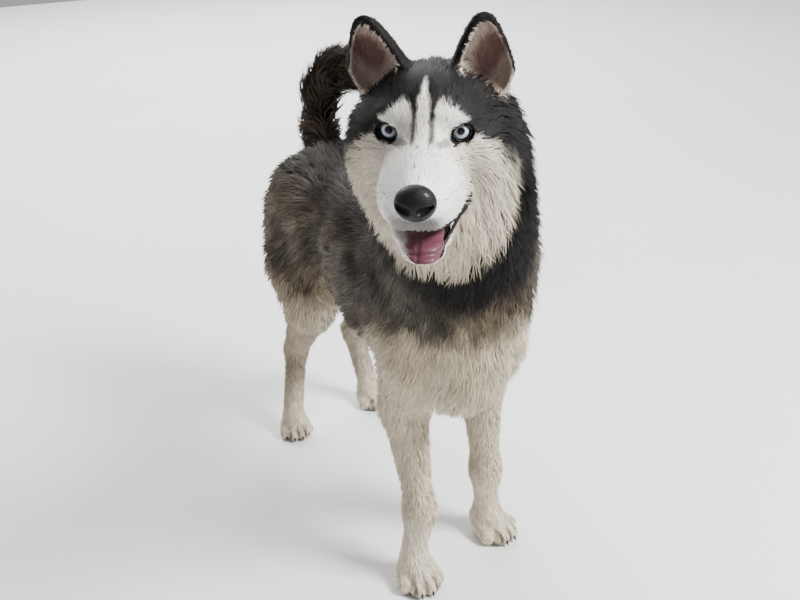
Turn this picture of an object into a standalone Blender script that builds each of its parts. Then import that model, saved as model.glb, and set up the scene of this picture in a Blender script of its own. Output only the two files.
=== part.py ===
"""A standing Siberian husky, life size, in metres: +Z up, the dog faces -Y, its left side is +X.

The body is one smooth field, the signed distance to the coat's outer face, blended from named masses.
Where the coat is long the mesh sinks to a core, and tapered locks lie over it along the coat's lie.
Each named part is meshed from that field, cut from its neighbours and kept as one closed solid.
"""

from math import cos, radians, sin
from typing import NamedTuple

import bmesh
import bpy
import numpy as np
from mathutils import Matrix, Vector
from mathutils.bvhtree import BVHTree

# Driving dimensions, in metres
GAP = 0.0003
HEAD_AT = (-0.115, -0.358, 0.727)
HEAD_YAW, HEAD_PITCH, HEAD_ROLL = -30, 5, 1.4
EYE_AT = (0.0338, 0.003, -0.002)
EYE_RADIUS = 0.0118
# Half the width and height of the opening of the lids
ALMOND = (0.0107, 0.0090)
EAR_AT = (0.053, 0.062, 0.036)
EAR_LENGTH, EAR_HALF_WIDTH, EAR_DEPTH, EAR_WALL = 0.063, 0.033, 0.026, 0.0065
EAR_CUP_SHARE = 0.88
EAR_ROOT_SLOPE = 21
# The corner of the mouth, back from the eyes and up from them, and how far forward the gap widens
MOUTH_CORNER, MOUTH_HEIGHT, MOUTH_LENGTH = -0.008, -0.0660, 0.092
NOSE_AT = (0.001, -0.109, -0.031)
NOSE_RADII = (0.0194, 0.0148, 0.0173)
FORE_PAW_SIZE, HIND_PAW_SIZE = 1.0, 0.88
LEFT, RIGHT = 1, -1
# How far each ear tilts outward and forward, and how far both turn outward
EAR_TILT = {LEFT: (0, 4), RIGHT: (12, 12)}
EAR_TURN = 20
SIDES = (("left", LEFT), ("right", RIGHT))

# How many triangles each stretch of the body keeps before it is cut and gets its locks
TORSO_TRIANGLES, NECK_TRIANGLES, TAIL_TRIANGLES = 860, 440, 440
FORE_LEG_TRIANGLES, HIND_LEG_TRIANGLES = 580, 680
HEAD_TRIANGLES, EAR_TRIANGLES, NOSE_TRIANGLES, TONGUE_TRIANGLES = 2600, 850, 500, 280

# The field is worked out this far round each mass
BAND = 0.03
UNITS = np.eye(3, dtype=int)

# A lock's rings: shares of its length, core depths above the coat's face, shares of its width
LOCK_SHARES = (0.0, 0.36, 0.72, 1.0)
LOCK_LEVELS = (-1.35, -0.50, -0.06, 0.16)
LOCK_WIDTHS = (0.60, 1.0, 0.72)
LOCK_THICKNESS = 0.20
# A lock's edges fall towards the coat as if it lay on a barrel of this radius
LOCK_BED_RADIUS = 0.07
LOCK_STRAY = 11
LOCK_TIP_LIFT = 0.0035
LEAST_CORE_DEPTH = 0.006
# The long coat starts this far behind the eyes, and deepens over that stretch
FACE_BACK, FACE_FADE = 0.022, 0.035
# A coat's depth fades over this distance at its place's edge
COAT_FADE = 0.03
# The tail's brush lies behind this and above this
TAIL_FRONT, TAIL_ROOT_HEIGHT = 0.10, 0.545
LOCK_SEED = 5
# The tail's core is this share of its brush
TAIL_CORE_SHARE = 0.55
TAIL_LOCK_SPACING = 0.026
# Length and width of a lock on the tail, as shares of the brush's radius there
TAIL_LOCK_SIZE = (1.7, 0.68)


def vec(*xyz):
    return np.array(xyz, float)


def turn_x(degrees):
    a = radians(degrees)
    return np.array([[1, 0, 0], [0, cos(a), -sin(a)], [0, sin(a), cos(a)]])


def turn_y(degrees):
    a = radians(degrees)
    return np.array([[cos(a), 0, sin(a)], [0, 1, 0], [-sin(a), 0, cos(a)]])


def turn_z(degrees):
    a = radians(degrees)
    return np.array([[cos(a), -sin(a), 0], [sin(a), cos(a), 0], [0, 0, 1]])


HEAD_TURN = turn_z(HEAD_YAW) @ turn_x(HEAD_PITCH) @ turn_y(HEAD_ROLL)


def in_head(x, y, z):
    """A point of the head's own frame (x left, -y forward, z up from between the eyes) in the dog's frame."""
    return vec(*HEAD_AT) + HEAD_TURN @ vec(x, y, z)


class Mass:
    """A formula for a distance, the box it matters in, and how it joins what came before it."""

    def __init__(self, distance, low, high, blend, carve=False):
        self.distance, self.blend, self.carve = distance, blend, carve
        self.low, self.high = low - BAND - blend, high + BAND + blend


def ball(at, radii, blend, turn=None, carve=False):
    """An ellipsoid."""
    at, radii = vec(*at), vec(*radii)

    def distance(p):
        q = p - at if turn is None else (p - at) @ turn
        near = np.linalg.norm(q / radii, axis=1)
        slope = np.maximum(np.linalg.norm(q / radii**2, axis=1), 1e-9)
        return near * (near - 1) / slope

    return Mass(distance, at - radii.max(), at + radii.max(), blend, carve)


def rod(a, b, radius_a, radius_b, blend, flat_along=None, flatness=1.0, carve=False):
    """A tapered rod with round ends, squeezed along one direction where flatness is under 1."""
    a, b = vec(*a), vec(*b)
    along = b - a

    def distance(p):
        share = np.clip((p - a) @ along / (along @ along), 0, 1)
        q = p - a - share[:, None] * along
        if flat_along is not None:
            q = q + np.outer(q @ flat_along * (1 / flatness - 1), flat_along)
        return np.linalg.norm(q, axis=1) - (radius_a + share * (radius_b - radius_a))

    widest = max(radius_a, radius_b)
    return Mass(distance, np.minimum(a, b) - widest, np.maximum(a, b) + widest, blend, carve)


def smooth_min(a, b, reach):
    overlap = np.maximum(reach - np.abs(a - b), 0) / reach
    return np.minimum(a, b) - overlap * overlap * reach / 4


def smooth_max(a, b, reach):
    return -smooth_min(-a, -b, reach)


def field(points, masses):
    """Distance from each point to the skin of the blended masses, below zero inside."""
    found = np.full(len(points), 1.0)
    for mass in masses:
        near = np.flatnonzero(((points > mass.low) & (points < mass.high)).all(axis=1))
        if not len(near):
            continue
        here = mass.distance(points[near])
        if mass.carve:
            found[near] = smooth_max(found[near], -here, mass.blend)
        else:
            found[near] = smooth_min(found[near], here, mass.blend)
    return found


def slope(points, masses, reach=0.0015):
    """The outward direction of the field at each point."""
    steps = reach * UNITS
    found = np.stack([field(points + step, masses) - field(points - step, masses) for step in steps], 1)
    return found / np.maximum(np.linalg.norm(found, axis=1), 1e-9)[:, None]


def onto_level(points, level, masses, rounds=3):
    """Moves points along the field's slope until the field there equals the level."""
    for _ in range(rounds):
        points = points + slope(points, masses) * (level - field(points, masses))[:, None]
    return points


def torso():
    masses = [
        ball((0.003, -0.030, 0.433), (0.102, 0.200, 0.130), 0.04),
        ball((0.004, -0.180, 0.396), (0.074, 0.080, 0.112), 0.05),
        ball((0.008, -0.130, 0.490), (0.062, 0.100, 0.078), 0.05),
        rod((0.006, -0.05, 0.468), (0, 0.20, 0.470), 0.090, 0.078, 0.04),
        rod((0.006, -0.05, 0.395), (0, 0.17, 0.438), 0.080, 0.062, 0.04),
        ball((0, 0.240, 0.468), (0.080, 0.095, 0.083), 0.04),
    ]
    for _, side in SIDES:
        shoulder = (0.002 + side * 0.052, -0.140, 0.425)
        masses.append(ball(shoulder, (0.038, 0.075, 0.115), 0.03, turn_x(-15)))
    return masses


def neck():
    return [
        rod((0.018, -0.150, 0.510), (-0.040, -0.255, 0.675), 0.108, 0.089, 0.04),
        rod((0.008, -0.180, 0.440), (-0.050, -0.285, 0.610), 0.078, 0.082, 0.04),
    ]


# The tail's line, each point with the radius of its brush
TAIL_LINE = (
    ((0.000, 0.285, 0.515), 0.034),
    ((0.004, 0.330, 0.560), 0.035),
    ((0.012, 0.335, 0.615), 0.037),
    ((0.030, 0.305, 0.652), 0.039),
    ((0.054, 0.255, 0.662), 0.038),
    ((0.078, 0.205, 0.640), 0.032),
    ((0.087, 0.170, 0.600), 0.017),
)


def tail():
    pairs = zip(TAIL_LINE[:-1], TAIL_LINE[1:])
    return [rod(a, b, radius_a, radius_b, 0.012) for (a, radius_a), (b, radius_b) in pairs]


def near_tail(points):
    """For each point, the distance to the tail's line and the brush's radius there."""
    distance, radius = np.full(len(points), 1.0), np.zeros(len(points))
    for (a, radius_a), (b, radius_b) in zip(TAIL_LINE[:-1], TAIL_LINE[1:]):
        along = vec(*b) - a
        share = np.clip((points - a) @ along / (along @ along), 0, 1)
        here = np.linalg.norm(points - a - share[:, None] * along, axis=1)
        nearer = here < distance
        distance[nearer] = here[nearer]
        radius[nearer] = radius_a + share[nearer] * (radius_b - radius_a)
    return distance, radius


def paw(at, heading, size):
    """Four toes in front of a rounded foot. Its sole dips under the floor and is cut flat there."""
    turn = turn_z(heading)

    def place(x, y, z):
        return vec(at[0], at[1], 0) + turn @ (vec(x, y, z) * size)

    masses = [ball(place(0, 0.006, 0.0235), np.array([0.026, 0.036, 0.0265]) * size, 0.014, turn)]
    for across, ahead, radius in ((0.0225, -0.014, 0.0135), (0.0082, -0.028, 0.0142)):
        for side in (LEFT, RIGHT):
            knuckle = place(side * across * 0.8, ahead + 0.024, 0.021)
            tip = place(side * across, ahead, 0.0125)
            masses.append(rod(knuckle, tip, radius * 0.9 * size, radius * size, 0.0045))
    return masses


def above_paw(at, heading, size):
    return vec(at[0], at[1], 0) + turn_z(heading) @ (vec(0, 0.012, 0.048) * size)


def fore_leg(shoulder, elbow, wrist, foot, heading):
    ankle = above_paw(foot, heading, FORE_PAW_SIZE)
    return [
        rod(shoulder, elbow, 0.042, 0.035, 0.03),
        rod(elbow, wrist, 0.0335, 0.0195, 0.02),
        ball(wrist, (0.0190, 0.0205, 0.030), 0.02),
        rod(wrist, ankle, 0.0190, 0.0200, 0.02),
    ] + paw(foot, heading, FORE_PAW_SIZE)


HOCKS = {LEFT: (0.060, 0.385, 0.150), RIGHT: (-0.060, 0.360, 0.150)}


def hind_leg(side, stifle, foot, heading):
    hock = HOCKS[side]
    ankle = above_paw(foot, heading, HIND_PAW_SIZE)
    return [
        ball((side * 0.066, 0.250, 0.405), (0.056, 0.100, 0.125), 0.055, turn_x(12)),
        rod((side * 0.074, 0.230, 0.36), stifle, 0.058, 0.040, 0.03),
        rod(stifle, hock, 0.038, 0.0205, 0.025),
        rod(hock, ankle, 0.0205, 0.0185, 0.02),
    ] + paw(foot, heading, HIND_PAW_SIZE)


def legs():
    return (
        hind_leg(RIGHT, (-0.078, 0.190, 0.305), (-0.088, 0.314), -8)
        + hind_leg(LEFT, (0.076, 0.195, 0.305), (0.076, 0.350), 10)
        + fore_leg((-0.056, -0.165, 0.37), (-0.049, -0.118, 0.275), (-0.044, -0.148, 0.118), (-0.055, -0.158), -4)
        + fore_leg((0.066, -0.165, 0.37), (0.080, -0.098, 0.275), (0.087, -0.098, 0.118), (0.095, -0.104), 18)
    )


def head_ball(at, radii, blend, carve=False):
    return ball(in_head(*at), radii, blend, HEAD_TURN, carve)


def head_rod(a, b, radius_a, radius_b, blend, height=1.0):
    """A rod in the head's frame. height under 1 makes it flatter than it is wide."""
    return rod(in_head(*a), in_head(*b), radius_a, radius_b, blend, HEAD_TURN @ vec(0, 0, 1), height)


def skull():
    masses = [
        head_ball((0, 0.062, -0.003), (0.064, 0.075, 0.048), 0.03),
        head_ball((0, 0.026, 0.012), (0.046, 0.046, 0.034), 0.02),
        head_rod((0, 0.002, -0.034), (0, -0.080, -0.042), 0.034, 0.0262, 0.02, 0.82),
        head_rod((0, -0.004, -0.006), (0, -0.098, -0.029), 0.0170, 0.0150, 0.016),
        head_ball((0, -0.088, -0.043), (0.0245, 0.020, 0.021), 0.012),
        head_ball((0, 0.045, -0.100), (0.066, 0.055, 0.045), 0.03),
    ]
    for _, side in SIDES:
        masses += [
            head_ball((side * 0.027, 0.002, 0.0150), (0.020, 0.016, 0.0105), 0.012),
            head_ball((side * 0.046, 0.030, -0.020), (0.027, 0.042, 0.030), 0.02),
            head_ball((side * 0.0150, -0.074, -0.0480), (0.0165, 0.034, 0.0190), 0.012),
            head_ball((side * 0.019, -0.030, -0.038), (0.018, 0.044, 0.024), 0.024),
            head_ball((side * 0.0205, -0.042, -0.053), (0.0185, 0.038, 0.0210), 0.014),
            head_ball((side * 0.0275, -0.008, -0.0640), (0.0175, 0.032, 0.0200), 0.014),
            head_ball((side * 0.056, 0.060, -0.048), (0.033, 0.050, 0.054), 0.03),
        ]
    return masses


def jaw():
    return [
        head_rod((0, 0.010, -0.070), (0.004, -0.068, -0.092), 0.038, 0.0190, 0.015, 0.72),
        head_ball((0.005, -0.080, -0.0935), (0.0215, 0.018, 0.0115), 0.008),
        head_ball((0.0205, -0.030, -0.0870), (0.0150, 0.042, 0.0140), 0.012),
        head_ball((-0.0165, -0.030, -0.0870), (0.0150, 0.042, 0.0140), 0.012),
    ]


def mouth():
    """The gap between the lips: a wedge that opens forward from the mouth's corners."""

    def distance(p):
        _, y, z = ((p - vec(*HEAD_AT)) @ HEAD_TURN).T
        open_share = np.clip((MOUTH_CORNER - y) / MOUTH_LENGTH, 0, 1.1)
        lower_lip = MOUTH_HEIGHT - 0.0038 - 0.0226 * open_share**1.5
        return np.maximum(np.maximum(z - MOUTH_HEIGHT, lower_lip - z), y - MOUTH_CORNER)

    middle = in_head(0, -0.065, -0.070)
    return Mass(distance, middle - 0.08, middle + 0.08, 0.003, carve=True)


def ear_frame(side):
    """(place, axes) of an ear: x across it, -y out of its cup, z up to its tip."""
    across, back, up = EAR_AT
    outward, forward = EAR_TILT[side]
    tilt = turn_y(side * outward) @ turn_x(forward) @ turn_z(side * EAR_TURN)
    return in_head(side * across, back, up), HEAD_TURN @ tilt


def ear(side):
    """A pointed scoop: half a cone with a rounded tip, hollowed from the front."""
    at, axes = ear_frame(side)

    def distance(p):
        x, y, z = ((p - at) @ axes).T

        def cone(length, wall):
            towards_root = np.clip((0.016 - z) / 0.046, 0, 1)
            taper = np.clip(1 - z / length, 0.001, 1) ** 0.62 * (1 - 0.4 * towards_root**2)
            half_width = np.maximum(EAR_HALF_WIDTH * taper - wall, 0.0005)
            half_depth = np.maximum(EAR_DEPTH * taper - wall, 0.0005)
            ring = np.sqrt((x / half_width) ** 2 + (y / half_depth) ** 2)
            return (ring - 1) * np.sqrt(x * x + y * y) / np.maximum(ring, 1e-6)

        outside = smooth_max(cone(EAR_LENGTH, -0.003), -(y + 0.004), 0.004)
        outside = smooth_max(outside, z - EAR_LENGTH, 0.006)
        outside = smooth_max(outside, -(z + 0.030), 0.01)
        cup = np.maximum(cone(EAR_LENGTH * EAR_CUP_SHARE, EAR_WALL - 0.003), z - EAR_LENGTH * EAR_CUP_SHARE)
        return smooth_max(outside, -cup, 0.003)

    return Mass(distance, at - 0.10, at + 0.10, 0.012)


def eyelids(side):
    """A lid round the eyeball, and the almond opening in it."""
    across, back, up = EYE_AT
    centre = in_head(side * across, back, up)
    axes = HEAD_TURN @ turn_z(side * 14) @ turn_y(side * -7)

    def almond(p):
        x, y, z = ((p - centre) @ axes).T
        half_width, half_height = ALMOND
        lens = np.abs(z) - half_height * (1 - (x / half_width) ** 2)
        return np.maximum(np.maximum(lens * 0.6, np.abs(x) - half_width), y + 0.002)

    lid = ball(centre, (EYE_RADIUS + 0.0030,) * 3, 0.006)
    return [lid, Mass(almond, centre - 0.02, centre + 0.02, 0.0012, carve=True)]


def nose():
    masses = [head_ball(NOSE_AT, NOSE_RADII, 0.003)]
    x, y, z = NOSE_AT
    for _, side in SIDES:
        nostril = rod(
            in_head(side * 0.0070, y - 0.0135, z - 0.003),
            in_head(side * 0.0150, y - 0.0060, z + 0.000),
            0.0042,
            0.0026,
            0.002,
            carve=True,
        )
        masses.append(nostril)
    return masses


def rough_body():
    """The body without its ears, lids, mouth and nose, which the long coat keeps clear of."""
    return torso() + legs() + neck() + tail() + skull() + jaw()


def body():
    return rough_body() + [ear(LEFT), ear(RIGHT)] + eyelids(LEFT) + eyelids(RIGHT) + [mouth()] + nose()


# The coat's lie as (place, direction, reach), in the dog's frame and in the head's. Both sides share each row.
BODY_LIE = (
    ((0.000, -0.160, 0.640), (0.0, 0.60, -0.80), 0.07),
    ((0.080, -0.200, 0.600), (0.05, 0.40, -0.90), 0.07),
    ((0.030, -0.330, 0.600), (0.0, 0.15, -1.00), 0.07),
    ((0.000, -0.270, 0.450), (0.0, 0.12, -1.00), 0.07),
    ((0.000, -0.200, 0.320), (0.0, 0.70, -0.70), 0.06),
    ((0.000, -0.070, 0.560), (0.0, 0.90, -0.30), 0.08),
    ((0.000, 0.100, 0.550), (0.0, 1.00, 0.00), 0.10),
    ((0.000, 0.270, 0.550), (0.0, 0.80, -0.60), 0.06),
    ((0.100, 0.020, 0.430), (0.0, 0.90, -0.45), 0.09),
    ((0.090, -0.150, 0.430), (0.0, 0.30, -0.95), 0.07),
    ((0.000, 0.050, 0.310), (0.0, 1.00, 0.00), 0.08),
    ((0.110, 0.240, 0.420), (0.0, 0.50, -0.87), 0.08),
    ((0.075, 0.320, 0.340), (0.0, 0.40, -0.92), 0.06),
    ((0.070, 0.330, 0.180), (0.0, 0.15, -1.00), 0.06),
    ((0.070, 0.330, 0.060), (0.0, -0.10, -1.00), 0.05),
    ((0.070, -0.130, 0.200), (0.0, 0.05, -1.00), 0.09),
    ((0.070, -0.140, 0.050), (0.0, -0.30, -0.95), 0.05),
)
HEAD_LIE = (
    ((0.000, -0.070, -0.010), (0.0, 1.00, 0.20), 0.020),
    ((0.000, 0.000, 0.025), (0.0, 0.80, 0.60), 0.022),
    ((0.000, 0.065, 0.045), (0.0, 1.00, 0.00), 0.035),
    ((0.000, 0.125, 0.000), (0.0, 0.50, -0.85), 0.045),
    ((0.050, 0.015, 0.000), (0.5, 0.80, 0.10), 0.022),
    ((0.045, -0.010, -0.040), (0.5, 0.80, -0.25), 0.024),
    ((0.085, 0.055, -0.040), (0.5, 0.60, -0.65), 0.032),
    ((0.065, 0.050, -0.100), (0.4, 0.30, -0.90), 0.034),
    ((0.030, -0.070, -0.045), (0.15, 0.95, -0.30), 0.022),
    ((0.000, -0.070, -0.105), (0.0, 0.90, -0.30), 0.022),
    ((0.000, 0.010, -0.120), (0.0, 0.45, -0.90), 0.035),
)


def lie_anchors():
    """Places, directions and reaches of the lie, in the dog's frame."""
    rows = []
    for _, side in SIDES:
        mirror = vec(side, 1, 1)
        rows += [(mirror * at, mirror * along, reach) for at, along, reach in BODY_LIE]
        for at, along, reach in HEAD_LIE:
            rows.append((in_head(*(mirror * at)), HEAD_TURN @ (mirror * along), reach))
    for (a, radius), (b, _) in zip(TAIL_LINE[:-1], TAIL_LINE[1:]):
        rows.append(((vec(*a) + b) / 2, vec(*b) - a, radius))
    places, directions, reaches = (np.array(column) for column in zip(*rows))
    return places, directions / np.linalg.norm(directions, axis=1)[:, None], reaches


def lie(points, normals):
    """The way the coat lies at each point, along its surface."""
    places, directions, reaches = lie_anchors()
    weights = np.exp(-((np.linalg.norm(points[:, None] - places, axis=2) / reaches) ** 2)) + 1e-9
    along = weights @ directions / weights.sum(axis=1)[:, None]
    along = along - (along * normals).sum(axis=1)[:, None] * normals
    return along / np.maximum(np.linalg.norm(along, axis=1), 0.1)[:, None]


class LongCoat(NamedTuple):
    """A place where the coat is long, its core's depth under the coat's face, and the sizes of its locks."""

    place: Mass
    depth: float
    spacing: float
    length: float
    width: float


def long_coats():
    ruff = rod((0.004, -0.185, 0.540), (-0.050, -0.280, 0.700), 0.132, 0.135, 0)
    chest = ball((0.000, -0.270, 0.420), (0.075, 0.060, 0.090), 0)
    coats = [LongCoat(ruff, 0.013, 0.043, 0.086, 0.040), LongCoat(chest, 0.011, 0.044, 0.078, 0.038)]
    for _, side in SIDES:
        cheek = head_ball((side * 0.070, 0.062, -0.060), (0.050, 0.040, 0.068), 0)
        breech = ball((side * 0.070, 0.345, 0.380), (0.050, 0.040, 0.090), 0, turn_x(20))
        shank = ball((side * 0.070, 0.350, 0.260), (0.035, 0.035, 0.050), 0, turn_x(25))
        coats += [
            LongCoat(cheek, 0.010, 0.027, 0.050, 0.026),
            LongCoat(breech, 0.010, 0.035, 0.062, 0.031),
            LongCoat(shank, 0.007, 0.032, 0.046, 0.022),
        ]
    return coats


def behind_face(points):
    """Zero on the face, whose coat is short, rising to one behind the cheeks."""
    _, y, _ = ((points - vec(*HEAD_AT)) @ HEAD_TURN).T
    return np.clip((y - FACE_BACK) / FACE_FADE, 0, 1)


def core_depth(points):
    """How far the core lies under the coat's outer face."""
    depth = np.zeros(len(points))
    for coat in long_coats():
        inside = np.clip(0.5 - coat.place.distance(points) / COAT_FADE, 0, 1)
        depth = np.maximum(depth, coat.depth * inside)
    distance, radius = near_tail(points)
    in_tail = np.clip((1.5 * radius - distance) / (0.3 * radius), 0, 1)
    behind_shoulders = np.clip((points[:, 1] - TAIL_FRONT) / 0.01, 0, 1)
    clear_of_rump = np.clip((points[:, 2] - TAIL_ROOT_HEIGHT) / COAT_FADE, 0, 1)
    depth = np.maximum(depth, (1 - TAIL_CORE_SHARE) * radius * in_tail * behind_shoulders * clear_of_rump)
    return depth * behind_face(points)


def spread_out(points, spacing, taken, chance):
    """Picks points in random order, none nearer than the spacing to one already taken."""
    picked = []
    for point in points[chance.permutation(len(points))]:
        if all(np.linalg.norm(point - other) > spacing for other in taken + picked):
            picked.append(point)
    return picked


def lock_roots(chance):
    """Where each lock leaves the coat, with its length and width."""
    surface = surface_points(rough_body(), (-0.26, -0.46, 0.10), (0.20, 0.44, 0.84), 0.010)
    brush = surface_points(tail(), (-0.08, 0.10, 0.55), (0.16, 0.42, 0.74), 0.008)
    taken, sizes = [], []
    for coat in long_coats():
        here = surface[(coat.place.distance(surface) < 0) & (behind_face(surface) > 0.02)]
        clear = near_tail(here)[0] > 0.05
        for _, side in SIDES:
            clear &= np.linalg.norm(here - ear_frame(side)[0], axis=1) > EAR_LENGTH
        here = here[clear]
        picked = spread_out(here, coat.spacing, taken, chance)
        taken += picked
        sizes += [(coat.length, coat.width)] * len(picked)
    picked = spread_out(brush, TAIL_LOCK_SPACING, taken, chance)
    sizes += [radius * vec(*TAIL_LOCK_SIZE) for radius in near_tail(np.array(picked))[1]]
    return np.array(taken + picked), np.array(sizes)


def lock_ring(at, along, normals, half_widths):
    """A cross-section of each lock: edge, ridge and edge."""
    across = half_widths * np.cross(along, normals)
    edges = at - normals * half_widths**2 / (2 * LOCK_BED_RADIUS)
    ridge = at + normals * 2 * half_widths * LOCK_THICKNESS
    return np.stack([edges - across, ridge, edges + across], axis=1)


def crosses_itself(lock):
    """Whether faces of the lock that share no corner meet, as they do where it twists or folds."""
    faces = lock_faces()
    tree = BVHTree.FromPolygons(lock.tolist(), faces)
    return any(not set(faces[a]) & set(faces[b]) for a, b in tree.overlap(tree))


def make_locks():
    """Every lock's vertices: rings along the coat's lie from its root in the core, then the tip."""
    chance = np.random.default_rng(LOCK_SEED)
    roots, sizes = lock_roots(chance)
    masses = rough_body()
    sizes = sizes * chance.uniform(0.84, 1.16, sizes.shape)
    lengths, half_widths = sizes[:, :1], sizes[:, 1:] / 2
    depths = np.maximum(core_depth(roots), LEAST_CORE_DEPTH)
    lifts = chance.uniform(0, LOCK_TIP_LIFT, len(roots))
    strays = np.radians(chance.normal(0, LOCK_STRAY, len(roots)))[:, None]

    def heading(points, normals):
        straight = lie(points, normals)
        return np.cos(strays) * straight + np.sin(strays) * np.cross(normals, straight)

    normals = slope(roots, masses)
    at = roots + normals * LOCK_LEVELS[0] * depths[:, None]
    along = heading(roots, normals)
    rings = [lock_ring(at, along, normals, half_widths * LOCK_WIDTHS[0])]
    for number in range(1, len(LOCK_SHARES)):
        share = LOCK_SHARES[number]
        stretch = (share - LOCK_SHARES[number - 1]) * lengths
        at = onto_level(at + along * stretch, LOCK_LEVELS[number] * depths + lifts * share**2, masses)
        if share < 1:
            normals = normals + slope(at, masses)
            normals /= np.linalg.norm(normals, axis=1)[:, None]
            along = heading(at, normals)
            rings.append(lock_ring(at, along, normals, half_widths * LOCK_WIDTHS[number]))
    locks = np.concatenate(rings + [at[:, None]], axis=1)
    return np.array([lock for lock in locks if not crosses_itself(lock)])


def lock_faces():
    """The triangles of one lock: its root's cap, the bands between rings and the fan to its tip."""
    faces = [(0, 2, 1)]
    tip = 3 * len(LOCK_WIDTHS)
    for ring in range(0, tip, 3):
        for a, b in ((0, 1), (1, 2), (2, 0)):
            if ring + 3 == tip:
                faces.append((ring + a, ring + b, tip))
            else:
                faces.append((ring + a, ring + b, ring + 3 + b))
                faces.append((ring + a, ring + 3 + b, ring + 3 + a))
    return faces


CORNERS = [(i, j, k) for i in (0, 1) for j in (0, 1) for k in (0, 1)]

# A cell's twelve edges, as (corner, axis), and the four corners round each of its six faces
EDGES = [(corner, axis) for axis in range(3) for corner in CORNERS if not corner[axis]]
FACE_WALK = ((0, 0), (1, 0), (1, 1), (0, 1))


def cell_faces():
    """For each face of a cell: its corners in order, and the edge from each corner to the next."""
    faces = []
    for axis in range(3):
        u, v = (axis + 1) % 3, (axis + 2) % 3
        for side in (0, 1):
            corners = [tuple(side * UNITS[axis] + du * UNITS[u] + dv * UNITS[v]) for du, dv in FACE_WALK]
            edges = []
            for a, b in zip(corners, corners[1:] + corners[:1]):
                along = next(i for i in range(3) if a[i] != b[i])
                edges.append(EDGES.index((min(a, b), along)))
            faces.append((corners, edges))
    return faces


CELL_FACES = cell_faces()


def loops_of_cell(inside):
    """Groups a cell's crossed edges into the separate pieces of surface that pass through it."""
    group = {i: i for i, (c, axis) in enumerate(EDGES) if inside[c] != inside[tuple(c + UNITS[axis])]}
    for corners, edges in CELL_FACES:
        crossed = [edge for edge in edges if edge in group]
        pairs = [crossed] if len(crossed) == 2 else []
        if len(crossed) == 4:
            pairs = [(edges[i - 1], edges[i]) for i in range(4) if inside[corners[i]]]
        for a, b in pairs:
            joined, gone = group[a], group[b]
            group = {edge: joined if name == gone else name for edge, name in group.items()}
    return group


def surface_net(samples, low, step):
    """Vertices and quads of the zero level of a grid: one vertex for each piece of surface in a cell."""
    inside = samples < 0
    cells = np.array(samples.shape) - 1
    count = np.zeros(cells, np.int8)
    for i, j, k in CORNERS:
        count += inside[i : i + cells[0], j : j + cells[1], k : k + cells[2]]
    at = np.argwhere((count > 0) & (count < 8))
    index = np.full(cells, -1, np.int64)
    index[tuple(at.T)] = np.arange(len(at))
    points = np.zeros((len(at), len(EDGES), 3))
    crossed = np.zeros((len(at), len(EDGES)), bool)
    for i, (corner, axis) in enumerate(EDGES):
        here = samples[tuple((at + corner).T)]
        there = samples[tuple((at + corner + UNITS[axis]).T)]
        crossed[:, i] = (here < 0) != (there < 0)
        share = np.where(crossed[:, i], here / np.where(crossed[:, i], here - there, 1), 0)
        points[:, i] = np.array(corner) + share[:, None] * UNITS[axis]
    vertices = (points * crossed[..., None]).sum(axis=1) / crossed.sum(axis=1)[:, None]
    vertex_of = np.repeat(np.arange(len(at))[:, None], len(EDGES), axis=1)
    extra = []
    for cell in np.flatnonzero(crossed.sum(axis=1) > 5):
        group = loops_of_cell({corner: bool(inside[tuple(at[cell] + corner)]) for corner in CORNERS})
        for n, name in enumerate(sorted(set(group.values()))):
            edges = [edge for edge in group if group[edge] == name]
            middle = points[cell, edges].mean(axis=0)
            if n == 0:
                vertices[cell] = middle
            else:
                vertex_of[cell, edges] = len(at) + len(extra)
                extra.append(at[cell] + middle)
    vertices = np.concatenate([at + vertices, np.array(extra).reshape(-1, 3)])
    quads = []
    for axis in range(3):
        first = np.take(inside, range(samples.shape[axis] - 1), axis)
        second = np.take(inside, range(1, samples.shape[axis]), axis)
        edges = np.argwhere(first != second)
        u, v = UNITS[(axis + 1) % 3], UNITS[(axis + 2) % 3]
        around = []
        for du, dv in ((1, 1), (0, 1), (0, 0), (1, 0)):
            corner = du * u + dv * v
            around.append(vertex_of[index[tuple((edges - corner).T)], EDGES.index((tuple(corner), axis))])
        quad = np.stack(around, axis=1)
        leaving = ~first[tuple(edges.T)]
        quad[leaving] = quad[leaving][:, ::-1]
        quads.append(quad)
    return low + step * vertices, np.concatenate(quads)


def mesh_of_field(name, masses, low, high, step, depth=None, block=6):
    """A closed mesh of the field inside a box, sunk by the depth at each point.

    Only the blocks near it are sampled finely.
    """

    def sunk_field(points):
        sunk = 0 if depth is None else depth(points)
        return field(points, masses) + sunk

    low, high = vec(*low), vec(*high)
    blocks = np.ceil((high - low) / (step * block)).astype(int)
    middles = [low[i] + step * block * (np.arange(blocks[i]) + 0.5) for i in range(3)]
    coarse = sunk_field(np.stack(np.meshgrid(*middles, indexing="ij"), -1).reshape(-1, 3)).reshape(blocks)
    samples = np.full(blocks * block + 1, 1.0)
    near = np.zeros(samples.shape, bool)

    def fine(grid):
        return grid.repeat(block, 0).repeat(block, 1).repeat(block, 2)

    samples[:-1, :-1, :-1] = np.where(fine(coarse) < 0, -1.0, 1.0)
    wanted = fine(np.abs(coarse) < step * block * 1.3)
    for i, j, k in CORNERS:
        near[i : i + wanted.shape[0], j : j + wanted.shape[1], k : k + wanted.shape[2]] |= wanted
    samples[near] = sunk_field(low + step * np.argwhere(near))
    for axis in range(3):
        edge = [slice(None)] * 3
        for end in (0, -1):
            edge[axis] = end
            samples[tuple(edge)] = step
    vertices, quads = surface_net(samples, low, step)
    mesh = bpy.data.meshes.new(name)
    mesh.from_pydata(vertices.tolist(), [], quads.tolist())
    return mesh


def surface_points(masses, low, high, step):
    """Points spread over the coat's outer face."""
    mesh = mesh_of_field("surface", masses, low, high, step)
    points = np.array([vertex.co[:] for vertex in mesh.vertices])
    bpy.data.meshes.remove(mesh)
    return points


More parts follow.
